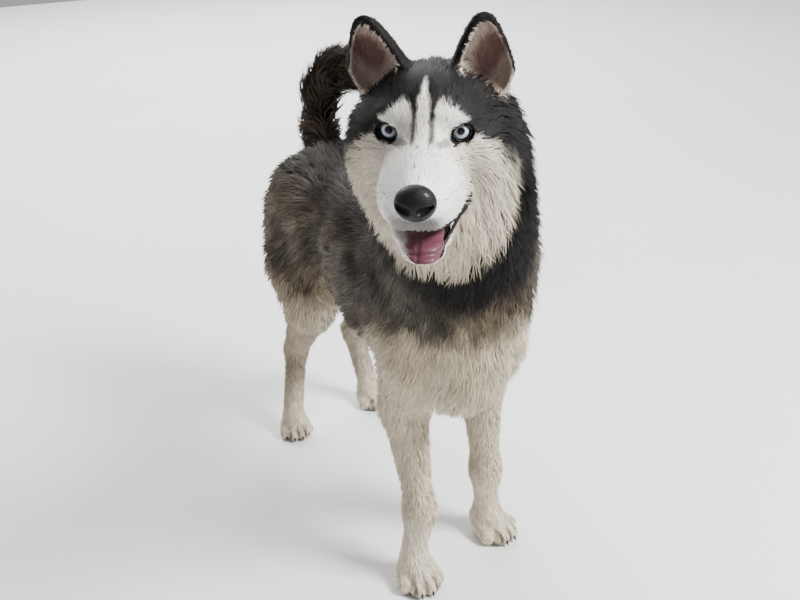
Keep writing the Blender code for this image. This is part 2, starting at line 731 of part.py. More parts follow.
def clear_scene():
    for thing in list(bpy.data.objects):
        bpy.data.objects.remove(thing)


def add_object(name, mesh):
    made = bpy.data.objects.new(name, mesh)
    bpy.context.scene.collection.objects.link(made)
    return made


def bake_modifiers(thing):
    """The object's mesh becomes what its modifiers make of it."""
    graph = bpy.context.evaluated_depsgraph_get()
    mesh = bpy.data.meshes.new_from_object(thing.evaluated_get(graph))
    thing.modifiers.clear()
    thing.data = mesh


def reduce_to(thing, triangles):
    """Collapses the mesh to about that many triangles."""
    count = sum(len(face.vertices) - 2 for face in thing.data.polygons)
    if count > triangles:
        modifier = thing.modifiers.new("reduce", "DECIMATE")
        modifier.ratio = triangles / count
        modifier.use_collapse_triangulate = True
        bake_modifiers(thing)


def boolean(thing, other, operation, solver="EXACT"):
    modifier = thing.modifiers.new("cut", "BOOLEAN")
    modifier.operation = operation
    modifier.solver = solver
    modifier.object = other
    bake_modifiers(thing)
    bpy.data.objects.remove(other)


def unite_locks(thing, locks):
    """Joins the locks that reach into the object's box, by one union on their collection."""
    corners = np.array([vertex.co[:] for vertex in thing.data.vertices])
    touching = (locks.max(axis=1) > corners.min(axis=0)) & (locks.min(axis=1) < corners.max(axis=0))
    collection = bpy.data.collections.new("locks")
    for vertices in locks[touching.all(axis=1)]:
        mesh = bpy.data.meshes.new("lock")
        mesh.from_pydata(vertices.tolist(), [], lock_faces())
        collection.objects.link(bpy.data.objects.new("lock", mesh))
    bpy.context.scene.collection.children.link(collection)
    modifier = thing.modifiers.new("locks", "BOOLEAN")
    modifier.operation = "UNION"
    modifier.operand_type = "COLLECTION"
    modifier.collection = collection
    bake_modifiers(thing)
    for lock in list(collection.objects):
        bpy.data.objects.remove(lock)
    bpy.data.collections.remove(collection)


def keep_largest(thing):
    """Keeps only the closed surface with the most faces."""
    grid = bmesh.new()
    grid.from_mesh(thing.data)
    left, groups = set(grid.faces), []
    while left:
        group, waiting = [], [left.pop()]
        while waiting:
            face = waiting.pop()
            group.append(face)
            shared = [edge for edge in face.edges if len(edge.link_faces) == 2]
            for other in (linked for edge in shared for linked in edge.link_faces):
                if other in left:
                    left.remove(other)
                    waiting.append(other)
        groups.append(group)
    groups.sort(key=len)
    bmesh.ops.delete(grid, geom=[face for group in groups[:-1] for face in group], context="FACES")
    bmesh.ops.triangulate(grid, faces=grid.faces)
    grid.to_mesh(thing.data)
    grid.free()


def box_between(low, high, at=(0, 0, 0), axes=np.eye(3), grow=0.0):
    """A box with corners given in a frame, each face moved out by grow."""
    low, high = vec(*low) - grow, vec(*high) + grow
    mesh = bpy.data.meshes.new("cutter")
    grid = bmesh.new()
    bmesh.ops.create_cube(grid, size=1)
    middle, size = (low + high) / 2, high - low
    for vertex in grid.verts:
        vertex.co = Vector(vec(*at) + axes @ (middle + size * np.array(vertex.co)))
    grid.to_mesh(mesh)
    grid.free()
    return add_object("cutter", mesh)


# Where the parts meet. A region is a function that makes its cutter, its faces moved out by what it is given.
FAR = 0.6


def box_region(low, high, at, axes):
    return lambda grow: box_between(low, high, at, axes, grow)


def beyond(at, normal):
    """Everything on the normal's side of a plane."""
    return box_region((-FAR, -FAR, 0), (FAR, FAR, FAR), vec(*at), plane_axes(normal))


def plane_axes(normal):
    """Axes whose z is the normal."""
    up = vec(*normal) / np.linalg.norm(normal)
    across = np.cross((0, 1, 0), up) if abs(up[1]) < 0.9 else np.cross((1, 0, 0), up)
    across = across / np.linalg.norm(across)
    return np.stack([across, np.cross(up, across), up], axis=1)


HEAD_REGION = beyond(in_head(0, 0.085, -0.055), HEAD_TURN @ vec(0, -0.853, 0.521))
NECK_REGION = beyond((0.01, -0.180, 0.515), (0, -1, 1))
BARREL_REGION = beyond((0, 0.012, 0.4), (0, 1, 0))
HAUNCH_REGION = beyond((0, 0.115, 0.4), (0, 1, 0))
TAIL_ROOT = vec(0.002, 0.300, 0.548)
TAIL_REGION = box_region((-0.09, -0.30, 0), (0.16, 0.30, FAR), TAIL_ROOT, plane_axes((0, 0.5, 0.87)))
JAW_REGION = box_region((-0.10, -0.16, -0.16), (0.10, 0.000, MOUTH_HEIGHT - 0.0019), in_head(0, 0, 0), HEAD_TURN)
NOSE_REGION = box_region((-0.03, -0.14, -0.0550), (0.03, -0.1015, 0.0), in_head(0, 0, 0), HEAD_TURN)

# A leg's box, left side, and its top, which rises outwards from its inner side
LEG_BOXES = {"fore": ((0.016, -0.27), (0.20, 0.0)), "hind": ((0.001, 0.08), (0.20, 0.50))}
LEG_TOPS = {"fore": (0.015, 0.266, 0.35), "hind": (0.0, 0.318, 0.25)}
FORE_RIGHT_INNER = -0.014


def ear_region(side):
    """Above a plane through the ear's root, which falls outwards as the skull does."""
    at, axes = ear_frame(side)
    inner, outer = sorted((-side * 0.043, side * 0.075))
    return box_region((inner, -0.06, 0.004), (outer, 0.07, 0.12), at, axes @ turn_y(side * EAR_ROOT_SLOPE))


def leg_limits(end, side):
    """The leg's (lowest, highest) x and y."""
    (inner, front), (outer, back) = LEG_BOXES[end]
    if side < 0 and end == "fore":
        inner = -FORE_RIGHT_INNER
    low, high = sorted((side * inner, side * outer))
    return (low, front), (high, back)


def leg_region(end, side):
    """Below a plane that rises outwards, on one side of the body, at the fore or hind end."""
    low, high = leg_limits(end, side)
    middle, height, rise = LEG_TOPS[end]

    def cutter(grow):
        made = box_between((*low, -0.01), (*high, height), grow=grow)
        for vertex in made.data.vertices:
            if vertex.co.z > height - 0.01:
                vertex.co.z += rise * abs(vertex.co.x - middle)
        return made

    return cutter


def hock_region(hock):
    """Everything below the hock."""
    return beyond(hock, (0, 0.35, -0.94))


def under_floor(_):
    return box_between((-1, -1, -1), (1, 1, 0))


def finish(thing, material):
    keep_largest(thing)
    thing.data.materials.clear()
    thing.data.materials.append(material)
    thing.data.shade_smooth()
    thing.data.set_sharp_from_angle(angle=radians(40))
    return thing


def material(name, colour, roughness, metallic=0.0):
    made = bpy.data.materials.new(name)
    made.use_nodes = True
    shader = made.node_tree.nodes["Principled BSDF"]
    shader.inputs["Base Color"].default_value = (*colour, 1)
    shader.inputs["Roughness"].default_value = roughness
    shader.inputs["Metallic"].default_value = metallic
    return made


def coat_mesh(name, masses, low, high, step, triangles, locks):
    """A stretch of the body down to its core, with the locks that reach it."""
    made = add_object(name, mesh_of_field(name, masses, low, high, step, core_depth))
    reduce_to(made, triangles)
    unite_locks(made, locks)
    mesh = made.data
    bpy.data.objects.remove(made)
    return mesh


def part_of(mesh, name, kept, removed, coat):
    """What lies in each kept region and outside the removed ones, as a part of its own."""
    made = add_object(name, mesh.copy())
    for region in kept:
        boolean(made, region(-GAP / 2), "INTERSECT")
    for region in removed:
        boolean(made, region(GAP / 2), "DIFFERENCE")
    return finish(made, coat)


def make_fore_leg(name, side, masses, locks, coat):
    low, high = leg_limits("fore", side)
    low, high = (low[0] - 0.02, low[1] - 0.02, -0.012), (high[0] + 0.02, high[1] + 0.02, 0.37)
    mesh = coat_mesh("fore_leg", masses, low, high, 0.0035, FORE_LEG_TRIANGLES, locks)
    part_of(mesh, f"fore_leg_{name}", [leg_region("fore", side)], [under_floor], coat)


def make_hind_leg(name, side, masses, locks, coat):
    """The leg below the stifle, parted at the hock."""
    low, high = leg_limits("hind", side)
    low, high = (low[0] - 0.02, low[1] - 0.02, -0.012), (high[0] + 0.02, high[1] + 0.02, 0.42)
    mesh = coat_mesh("hind_leg", masses, low, high, 0.0035, HIND_LEG_TRIANGLES, locks)
    below_hock = hock_region(HOCKS[side])
    part_of(mesh, f"hind_shank_{name}", [leg_region("hind", side)], [below_hock], coat)
    part_of(mesh, f"hind_foot_{name}", [leg_region("hind", side), below_hock], [under_floor], coat)


def make_torso(masses, locks, coat):
    """The torso in three lengths, clear of the legs, the neck and the tail."""
    mesh = coat_mesh("torso", masses, (-0.17, -0.34, 0.20), (0.18, 0.42, 0.66), 0.006, TORSO_TRIANGLES, locks)
    fore_legs = [leg_region("fore", side) for _, side in SIDES]
    hind_legs = [leg_region("hind", side) for _, side in SIDES]
    part_of(mesh, "torso_chest", [], [NECK_REGION, BARREL_REGION] + fore_legs, coat)
    part_of(mesh, "torso_barrel", [BARREL_REGION], [HAUNCH_REGION] + hind_legs, coat)
    part_of(mesh, "torso_haunches", [HAUNCH_REGION], [TAIL_REGION] + hind_legs, coat)


def make_neck(masses, locks, coat):
    mesh = coat_mesh("neck", masses, (-0.24, -0.44, 0.36), (0.18, -0.02, 0.86), 0.005, NECK_TRIANGLES, locks)
    part_of(mesh, "neck", [NECK_REGION], [HEAD_REGION], coat)


def tail_joint(number):
    """Everything past one of the tail line's points, towards its tip."""
    before, here, after = (vec(*TAIL_LINE[number + i][0]) for i in (-1, 0, 1))
    return beyond(here, after - before)


def make_tail(masses, locks, coat):
    """The tail in three lengths, parted square to its line."""
    mesh = coat_mesh("tail", masses, (-0.08, 0.10, 0.52), (0.16, 0.42, 0.74), 0.004, TAIL_TRIANGLES, locks)
    first, second = tail_joint(2), tail_joint(4)
    part_of(mesh, "tail_base", [TAIL_REGION], [first], coat)
    part_of(mesh, "tail_middle", [first], [second], coat)
    part_of(mesh, "tail_tip", [second, beyond((0, 0, 0.555), (0, 0, 1))], [], coat)


def eyeball(name, side, material_of_eye, grow=0.0):
    across, back, up = EYE_AT
    mesh = bpy.data.meshes.new(name)
    grid = bmesh.new()
    bmesh.ops.create_icosphere(grid, subdivisions=3, radius=EYE_RADIUS + grow)
    bmesh.ops.translate(grid, verts=grid.verts, vec=Vector(in_head(side * across, back, up)))
    grid.to_mesh(mesh)
    grid.free()
    eye = add_object(name, mesh)
    return eye if material_of_eye is None else finish(eye, material_of_eye)


TONGUE_LINE = (
    ((0.001, -0.024, -0.0750), 0.0140, 0.0050),
    ((0.003, -0.045, -0.0755), 0.0165, 0.0058),
    ((0.005, -0.068, -0.0788), 0.0176, 0.0060),
    ((0.0065, -0.088, -0.0825), 0.0172, 0.0055),
    ((0.0070, -0.098, -0.0890), 0.0148, 0.0045),
)


def tongue_masses():
    """A flat, broad tongue that lies along the jaw and drops over its front."""
    masses = []
    for (a, half_width, half_height), (b, next_width, _) in zip(TONGUE_LINE[:-1], TONGUE_LINE[1:]):
        masses.append(head_rod(a, b, half_width, next_width, 0.006, half_height / half_width))
    return masses


def make_tongue(pink):
    low, high = in_head(0, -0.06, -0.09) - 0.07, in_head(0, -0.06, -0.09) + 0.07
    tongue = add_object("tongue", mesh_of_field("tongue", tongue_masses(), low, high, 0.002))
    reduce_to(tongue, TONGUE_TRIANGLES)
    return finish(tongue, pink)


def grown_copy(thing, distance):
    """The same mesh with each vertex moved out along its normal."""
    mesh = thing.data.copy()
    for vertex, normal in zip(mesh.vertices, [tuple(v.normal) for v in thing.data.vertices]):
        vertex.co += Vector(normal) * distance
    return add_object("cutter", mesh)


def make_head(masses, locks, tongue, coat):
    """The head without its ears, nose and lower jaw, and then the jaw."""
    low, high = in_head(0, 0.03, -0.03) - 0.20, in_head(0, 0.03, -0.03) + 0.20
    mesh = coat_mesh("head", masses, low, high, 0.0025, HEAD_TRIANGLES, locks)

    def eye_socket(side):
        return lambda _: eyeball("socket", side, None, GAP * 1.3)

    def tongue_bed(_):
        return grown_copy(tongue, GAP * 1.5)

    sockets = [eye_socket(side) for _, side in SIDES]
    ears = [ear_region(side) for _, side in SIDES]
    part_of(mesh, "head", [HEAD_REGION], ears + [JAW_REGION, NOSE_REGION] + sockets + [tongue_bed], coat)
    part_of(mesh, "lower_jaw", [JAW_REGION, HEAD_REGION], [tongue_bed], coat)


def make_ear(name, side, masses, coat):
    at, _ = ear_frame(side)
    mesh = mesh_of_field("ear", masses, at - vec(0.075, 0.075, 0.02), at + 0.09, 0.0016)
    made = add_object(f"ear_{name}", mesh)
    reduce_to(made, EAR_TRIANGLES)
    boolean(made, ear_region(side)(-GAP / 2), "INTERSECT")
    return finish(made, coat)


def make_nose(masses, leather):
    at = in_head(*NOSE_AT)
    made = add_object("nose", mesh_of_field("nose", masses, at - 0.035, at + 0.035, 0.001))
    reduce_to(made, NOSE_TRIANGLES)
    boolean(made, NOSE_REGION(-GAP / 2), "INTERSECT")
    return finish(made, leather)


def stand_on_origin():
    """Moves everything so that the middle of the box round the dog's soles is over the origin."""
    points = np.array([v.co[:] for thing in bpy.data.objects for v in thing.data.vertices])
    middle = (points.min(axis=0) + points.max(axis=0)) / 2
    shift = Matrix.Translation((-middle[0], -middle[1], 0))
    for thing in bpy.data.objects:
        thing.data.transform(shift)


def main():
    clear_scene()
    grey_coat = material("grey_coat", (0.16, 0.15, 0.14), 0.9)
    cream_coat = material("cream_coat", (0.66, 0.61, 0.53), 0.9)
    eye_blue = material("eye", (0.55, 0.66, 0.80), 0.1)
    black_leather = material("nose_leather", (0.02, 0.02, 0.022), 0.35)
    tongue_pink = material("tongue", (0.62, 0.24, 0.28), 0.4)
    masses = body()
    locks = make_locks()
    make_torso(masses, locks, grey_coat)
    make_neck(masses, locks, grey_coat)
    make_tail(masses, locks, grey_coat)
    for name, side in SIDES:
        make_fore_leg(name, side, masses, locks, cream_coat)
        make_hind_leg(name, side, masses, locks, cream_coat)
        make_ear(name, side, masses, grey_coat)
        eyeball(f"eye_{name}", side, eye_blue)
    tongue = make_tongue(tongue_pink)
    make_head(masses, locks, tongue, cream_coat)
    make_nose(masses, black_leather)
    stand_on_origin()


main()
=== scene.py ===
"""A Siberian husky dressed in skin and coat over its CAD frame.

The body's form is the same smooth field as the frame's, the signed distance to the coat's outer face.
The skin lies inside it by the coat's depth, and tapered tufts grow from the skin along the coat's lie.
"""

from math import cos, pi, radians, sin

import bmesh
import bpy
import numpy as np
from mathutils import Matrix, Vector
from mathutils.kdtree import KDTree


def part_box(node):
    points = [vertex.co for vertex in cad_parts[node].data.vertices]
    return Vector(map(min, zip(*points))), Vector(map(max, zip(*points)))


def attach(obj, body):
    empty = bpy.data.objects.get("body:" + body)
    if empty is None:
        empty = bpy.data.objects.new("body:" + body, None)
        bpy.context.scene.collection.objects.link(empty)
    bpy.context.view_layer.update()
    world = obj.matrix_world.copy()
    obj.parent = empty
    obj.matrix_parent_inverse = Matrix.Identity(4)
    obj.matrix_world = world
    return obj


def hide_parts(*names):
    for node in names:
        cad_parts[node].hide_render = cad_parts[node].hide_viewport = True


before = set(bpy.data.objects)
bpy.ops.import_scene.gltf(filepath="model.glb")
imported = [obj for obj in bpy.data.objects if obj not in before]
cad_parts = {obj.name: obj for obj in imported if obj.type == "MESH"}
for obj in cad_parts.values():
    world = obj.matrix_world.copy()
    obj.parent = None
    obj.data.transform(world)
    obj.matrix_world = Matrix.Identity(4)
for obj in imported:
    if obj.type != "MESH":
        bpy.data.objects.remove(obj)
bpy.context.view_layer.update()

HEAD_AT = (-0.115, -0.358, 0.727)
HEAD_YAW, HEAD_PITCH, HEAD_ROLL = -30, 5, 1.4
EYE_AT = (0.0338, 0.003, -0.002)
EYE_RADIUS = 0.0118
EAR_AT = (0.053, 0.062, 0.036)
EAR_LENGTH, EAR_HALF_WIDTH, EAR_DEPTH, EAR_WALL = 0.063, 0.033, 0.026, 0.0065
EAR_CUP_SHARE = 0.88
MOUTH_CORNER, MOUTH_HEIGHT, MOUTH_LENGTH = -0.008, -0.0660, 0.092
NOSE_AT = (0.001, -0.109, -0.031)
NOSE_RADII = (0.0194, 0.0148, 0.0173)
FORE_PAW_SIZE, HIND_PAW_SIZE = 1.0, 0.88
LEFT, RIGHT = 1, -1
EAR_TILT = {LEFT: (0, 4), RIGHT: (12, 12)}
EAR_TURN = 20
SIDES = (("left", LEFT), ("right", RIGHT))
ALMOND = (0.0107, 0.0090)

# The field is worked out this far round each mass
BAND = 0.03
UNITS = np.eye(3, dtype=int)
CORNERS = [(i, j, k) for i in (0, 1) for j in (0, 1) for k in (0, 1)]


def vec(*xyz):
    return np.array(xyz, float)


def turn_x(degrees):
    a = radians(degrees)
    return np.array([[1, 0, 0], [0, cos(a), -sin(a)], [0, sin(a), cos(a)]])


def turn_y(degrees):
    a = radians(degrees)
    return np.array([[cos(a), 0, sin(a)], [0, 1, 0], [-sin(a), 0, cos(a)]])


def turn_z(degrees):
    a = radians(degrees)
    return np.array([[cos(a), -sin(a), 0], [sin(a), cos(a), 0], [0, 0, 1]])


HEAD_TURN = turn_z(HEAD_YAW) @ turn_x(HEAD_PITCH) @ turn_y(HEAD_ROLL)


def in_head(x, y, z):
    """A point of the head's own frame (x left, -y forward, z up from between the eyes) in the dog's frame."""
    return vec(*HEAD_AT) + HEAD_TURN @ vec(x, y, z)


class Mass:
    """A formula for a distance, the box it matters in, and how it joins what came before it."""

    def __init__(self, distance, low, high, blend, carve=False):
        self.distance, self.blend, self.carve = distance, blend, carve
        self.low, self.high = low - BAND - blend, high + BAND + blend


def ball(at, radii, blend, turn=None, carve=False):
    """An ellipsoid."""
    at, radii = vec(*at), vec(*radii)

    def distance(p):
        q = p - at if turn is None else (p - at) @ turn
        near = np.linalg.norm(q / radii, axis=1)
        slope = np.maximum(np.linalg.norm(q / radii**2, axis=1), 1e-9)
        return near * (near - 1) / slope

    return Mass(distance, at - radii.max(), at + radii.max(), blend, carve)


def rod(a, b, radius_a, radius_b, blend, flat_along=None, flatness=1.0, carve=False):
    """A tapered rod with round ends, squeezed along one direction where flatness is under 1."""
    a, b = vec(*a), vec(*b)
    along = b - a

    def distance(p):
        share = np.clip((p - a) @ along / (along @ along), 0, 1)
        q = p - a - share[:, None] * along
        if flat_along is not None:
            q = q + np.outer(q @ flat_along * (1 / flatness - 1), flat_along)
        return np.linalg.norm(q, axis=1) - (radius_a + share * (radius_b - radius_a))

    widest = max(radius_a, radius_b)
    return Mass(distance, np.minimum(a, b) - widest, np.maximum(a, b) + widest, blend, carve)


def smooth_min(a, b, reach):
    overlap = np.maximum(reach - np.abs(a - b), 0) / reach
    return np.minimum(a, b) - overlap * overlap * reach / 4


def smooth_max(a, b, reach):
    return -smooth_min(-a, -b, reach)


def field(points, masses):
    """Distance from each point to the skin of the blended masses, below zero inside."""
    found = np.full(len(points), 1.0)
    for mass in masses:
        near = np.flatnonzero(((points > mass.low) & (points < mass.high)).all(axis=1))
        if not len(near):
            continue
        here = mass.distance(points[near])
        if mass.carve:
            found[near] = smooth_max(found[near], -here, mass.blend)
        else:
            found[near] = smooth_min(found[near], here, mass.blend)
    return found


def slope(points, masses, reach=0.0015):
    """The outward direction of the field at each point."""
    steps = reach * UNITS
    found = np.stack([field(points + step, masses) - field(points - step, masses) for step in steps], 1)
    return found / np.maximum(np.linalg.norm(found, axis=1), 1e-9)[:, None]


def onto_level(points, level, masses, rounds=3):
    """Moves points along the field's slope until the field there equals the level."""
    for _ in range(rounds):
        points = points + slope(points, masses) * (level - field(points, masses))[:, None]
    return points


def torso():
    masses = [
        ball((0.003, -0.030, 0.433), (0.102, 0.200, 0.130), 0.04),
        ball((0.004, -0.180, 0.396), (0.074, 0.080, 0.112), 0.05),
        ball((0.008, -0.130, 0.490), (0.062, 0.100, 0.078), 0.05),
        rod((0.006, -0.05, 0.468), (0, 0.20, 0.470), 0.090, 0.078, 0.04),
        rod((0.006, -0.05, 0.395), (0, 0.17, 0.438), 0.080, 0.062, 0.04),
        ball((0, 0.240, 0.468), (0.080, 0.095, 0.083), 0.04),
    ]
    for _, side in SIDES:
        shoulder = (0.002 + side * 0.052, -0.140, 0.425)
        masses.append(ball(shoulder, (0.038, 0.075, 0.115), 0.03, turn_x(-15)))
    return masses


def neck():
    return [
        rod((0.018, -0.150, 0.510), (-0.040, -0.255, 0.675), 0.108, 0.089, 0.04),
        rod((0.008, -0.180, 0.440), (-0.050, -0.285, 0.610), 0.078, 0.082, 0.04),
    ]


# The tail's line, each point with the radius of its brush
TAIL_LINE = (
    ((0.000, 0.285, 0.515), 0.034),
    ((0.004, 0.330, 0.560), 0.035),
    ((0.012, 0.335, 0.615), 0.037),
    ((0.030, 0.305, 0.652), 0.039),
    ((0.054, 0.255, 0.662), 0.038),
    ((0.078, 0.205, 0.640), 0.032),
    ((0.087, 0.170, 0.600), 0.017),
)


def tail():
    pairs = zip(TAIL_LINE[:-1], TAIL_LINE[1:])
    return [rod(a, b, radius_a, radius_b, 0.012) for (a, radius_a), (b, radius_b) in pairs]


def near_tail(points):
    """For each point, the distance to the tail's line and the brush's radius there."""
    distance, radius = np.full(len(points), 1.0), np.zeros(len(points))
    for (a, radius_a), (b, radius_b) in zip(TAIL_LINE[:-1], TAIL_LINE[1:]):
        along = vec(*b) - a
        share = np.clip((points - a) @ along / (along @ along), 0, 1)
        here = np.linalg.norm(points - a - share[:, None] * along, axis=1)
        nearer = here < distance
        distance[nearer] = here[nearer]
        radius[nearer] = radius_a + share[nearer] * (radius_b - radius_a)
    return distance, radius


def paw(at, heading, size):
    """Four toes in front of a rounded foot. Its sole dips under the floor and is cut flat there."""
    turn = turn_z(heading)

    def place(x, y, z):
        return vec(at[0], at[1], 0) + turn @ (vec(x, y, z) * size)

    masses = [ball(place(0, 0.006, 0.0235), np.array([0.026, 0.036, 0.0265]) * size, 0.014, turn)]
    for across, ahead, radius in ((0.0225, -0.014, 0.0135), (0.0082, -0.028, 0.0142)):
        for side in (LEFT, RIGHT):
            knuckle = place(side * across * 0.8, ahead + 0.024, 0.021)
            tip = place(side * across, ahead, 0.0125)
            masses.append(rod(knuckle, tip, radius * 0.9 * size, radius * size, 0.0045))
    return masses


def above_paw(at, heading, size):
    return vec(at[0], at[1], 0) + turn_z(heading) @ (vec(0, 0.012, 0.048) * size)


def fore_leg(shoulder, elbow, wrist, foot, heading):
    ankle = above_paw(foot, heading, FORE_PAW_SIZE)
    return [
        rod(shoulder, elbow, 0.042, 0.035, 0.03),
        rod(elbow, wrist, 0.0335, 0.0195, 0.02),
        ball(wrist, (0.0190, 0.0205, 0.030), 0.02),
        rod(wrist, ankle, 0.0190, 0.0200, 0.02),
    ] + paw(foot, heading, FORE_PAW_SIZE)


HOCKS = {LEFT: (0.060, 0.385, 0.150), RIGHT: (-0.060, 0.360, 0.150)}


def hind_leg(side, stifle, foot, heading):
    hock = HOCKS[side]
    ankle = above_paw(foot, heading, HIND_PAW_SIZE)
    return [
        ball((side * 0.066, 0.250, 0.405), (0.056, 0.100, 0.125), 0.055, turn_x(12)),
        rod((side * 0.074, 0.230, 0.36), stifle, 0.058, 0.040, 0.03),
        rod(stifle, hock, 0.038, 0.0205, 0.025),
        rod(hock, ankle, 0.0205, 0.0185, 0.02),
    ] + paw(foot, heading, HIND_PAW_SIZE)


def legs():
    return (
        hind_leg(RIGHT, (-0.078, 0.190, 0.305), (-0.088, 0.314), -8)
        + hind_leg(LEFT, (0.076, 0.195, 0.305), (0.076, 0.350), 10)
        + fore_leg((-0.056, -0.165, 0.37), (-0.049, -0.118, 0.275), (-0.044, -0.148, 0.118), (-0.055, -0.158), -4)
        + fore_leg((0.066, -0.165, 0.37), (0.080, -0.098, 0.275), (0.087, -0.098, 0.118), (0.095, -0.104), 18)
    )


def head_ball(at, radii, blend, carve=False):
    return ball(in_head(*at), radii, blend, HEAD_TURN, carve)


def head_rod(a, b, radius_a, radius_b, blend, height=1.0):
    """A rod in the head's frame. height under 1 makes it flatter than it is wide."""
    return rod(in_head(*a), in_head(*b), radius_a, radius_b, blend, HEAD_TURN @ vec(0, 0, 1), height)


def skull():
    masses = [
        head_ball((0, 0.062, -0.003), (0.064, 0.075, 0.048), 0.03),
        head_ball((0, 0.026, 0.012), (0.046, 0.046, 0.034), 0.02),
        head_rod((0, 0.002, -0.034), (0, -0.080, -0.042), 0.034, 0.0262, 0.02, 0.82),
        head_rod((0, -0.004, -0.006), (0, -0.098, -0.029), 0.0170, 0.0150, 0.016),
        head_ball((0, -0.088, -0.043), (0.0245, 0.020, 0.021), 0.012),
        head_ball((0, 0.045, -0.100), (0.066, 0.055, 0.045), 0.03),
    ]
    for _, side in SIDES:
        masses += [
            head_ball((side * 0.027, 0.002, 0.0150), (0.020, 0.016, 0.0105), 0.012),
            head_ball((side * 0.046, 0.030, -0.020), (0.027, 0.042, 0.030), 0.02),
            head_ball((side * 0.0150, -0.074, -0.0480), (0.0165, 0.034, 0.0190), 0.012),
            head_ball((side * 0.019, -0.030, -0.038), (0.018, 0.044, 0.024), 0.024),
            head_ball((side * 0.0205, -0.042, -0.053), (0.0185, 0.038, 0.0210), 0.014),
            head_ball((side * 0.0275, -0.008, -0.0640), (0.0175, 0.032, 0.0200), 0.014),
            head_ball((side * 0.056, 0.060, -0.048), (0.033, 0.050, 0.054), 0.03),
        ]
    return masses


def jaw():
    return [
        head_rod((0, 0.010, -0.070), (0.004, -0.068, -0.092), 0.038, 0.0190, 0.015, 0.72),
        head_ball((0.005, -0.080, -0.0935), (0.0215, 0.018, 0.0115), 0.008),
        head_ball((0.0205, -0.030, -0.0870), (0.0150, 0.042, 0.0140), 0.012),
        head_ball((-0.0165, -0.030, -0.0870), (0.0150, 0.042, 0.0140), 0.012),
    ]


def mouth():
    """The gap between the lips: a wedge that opens forward from the mouth's corners."""

    def distance(p):
        _, y, z = ((p - vec(*HEAD_AT)) @ HEAD_TURN).T
        open_share = np.clip((MOUTH_CORNER - y) / MOUTH_LENGTH, 0, 1.1)
        lower_lip = MOUTH_HEIGHT - 0.0038 - 0.0226 * open_share**1.5
        return np.maximum(np.maximum(z - MOUTH_HEIGHT, lower_lip - z), y - MOUTH_CORNER)

    middle = in_head(0, -0.065, -0.070)
    return Mass(distance, middle - 0.08, middle + 0.08, 0.003, carve=True)


def ear_frame(side):
    """(place, axes) of an ear: x across it, -y out of its cup, z up to its tip."""
    across, back, up = EAR_AT
    outward, forward = EAR_TILT[side]
    tilt = turn_y(side * outward) @ turn_x(forward) @ turn_z(side * EAR_TURN)
    return in_head(side * across, back, up), HEAD_TURN @ tilt


def ear(side):
    """A pointed scoop: half a cone with a rounded tip, hollowed from the front."""
    at, axes = ear_frame(side)

    def distance(p):
        x, y, z = ((p - at) @ axes).T

        def cone(length, wall):
            towards_root = np.clip((0.016 - z) / 0.046, 0, 1)
            taper = np.clip(1 - z / length, 0.001, 1) ** 0.62 * (1 - 0.4 * towards_root**2)
            half_width = np.maximum(EAR_HALF_WIDTH * taper - wall, 0.0005)
            half_depth = np.maximum(EAR_DEPTH * taper - wall, 0.0005)
            ring = np.sqrt((x / half_width) ** 2 + (y / half_depth) ** 2)
            return (ring - 1) * np.sqrt(x * x + y * y) / np.maximum(ring, 1e-6)

        outside = smooth_max(cone(EAR_LENGTH, -0.003), -(y + 0.004), 0.004)
        outside = smooth_max(outside, z - EAR_LENGTH, 0.006)
        outside = smooth_max(outside, -(z + 0.030), 0.01)
        cup = np.maximum(cone(EAR_LENGTH * EAR_CUP_SHARE, EAR_WALL - 0.003), z - EAR_LENGTH * EAR_CUP_SHARE)
        return smooth_max(outside, -cup, 0.003)

    return Mass(distance, at - 0.10, at + 0.10, 0.012)


def eyelids(side):
    """A lid round the eyeball, and the almond opening in it."""
    across, back, up = EYE_AT
    centre = in_head(side * across, back, up)
    axes = HEAD_TURN @ turn_z(side * 14) @ turn_y(side * -7)

    def almond(p):
        x, y, z = ((p - centre) @ axes).T
        half_width, half_height = ALMOND
        lens = np.abs(z) - half_height * (1 - (x / half_width) ** 2)
        return np.maximum(np.maximum(lens * 0.6, np.abs(x) - half_width), y + 0.002)

    lid = ball(centre, (EYE_RADIUS + 0.0030,) * 3, 0.006)
    return [lid, Mass(almond, centre - 0.02, centre + 0.02, 0.0012, carve=True)]


def nose():
    masses = [head_ball(NOSE_AT, NOSE_RADII, 0.003)]
    x, y, z = NOSE_AT
    for _, side in SIDES:
        nostril = rod(
            in_head(side * 0.0070, y - 0.0135, z - 0.003),
            in_head(side * 0.0150, y - 0.0060, z + 0.000),
            0.0042,
            0.0026,
            0.002,
            carve=True,
        )
        masses.append(nostril)
    return masses


def rough_body():
    """The body without its ears, lids, mouth and nose, which the long coat keeps clear of."""
    return torso() + legs() + neck() + tail() + skull() + jaw()


def body():
    return rough_body() + [ear(LEFT), ear(RIGHT)] + eyelids(LEFT) + eyelids(RIGHT) + [mouth()] + nose()


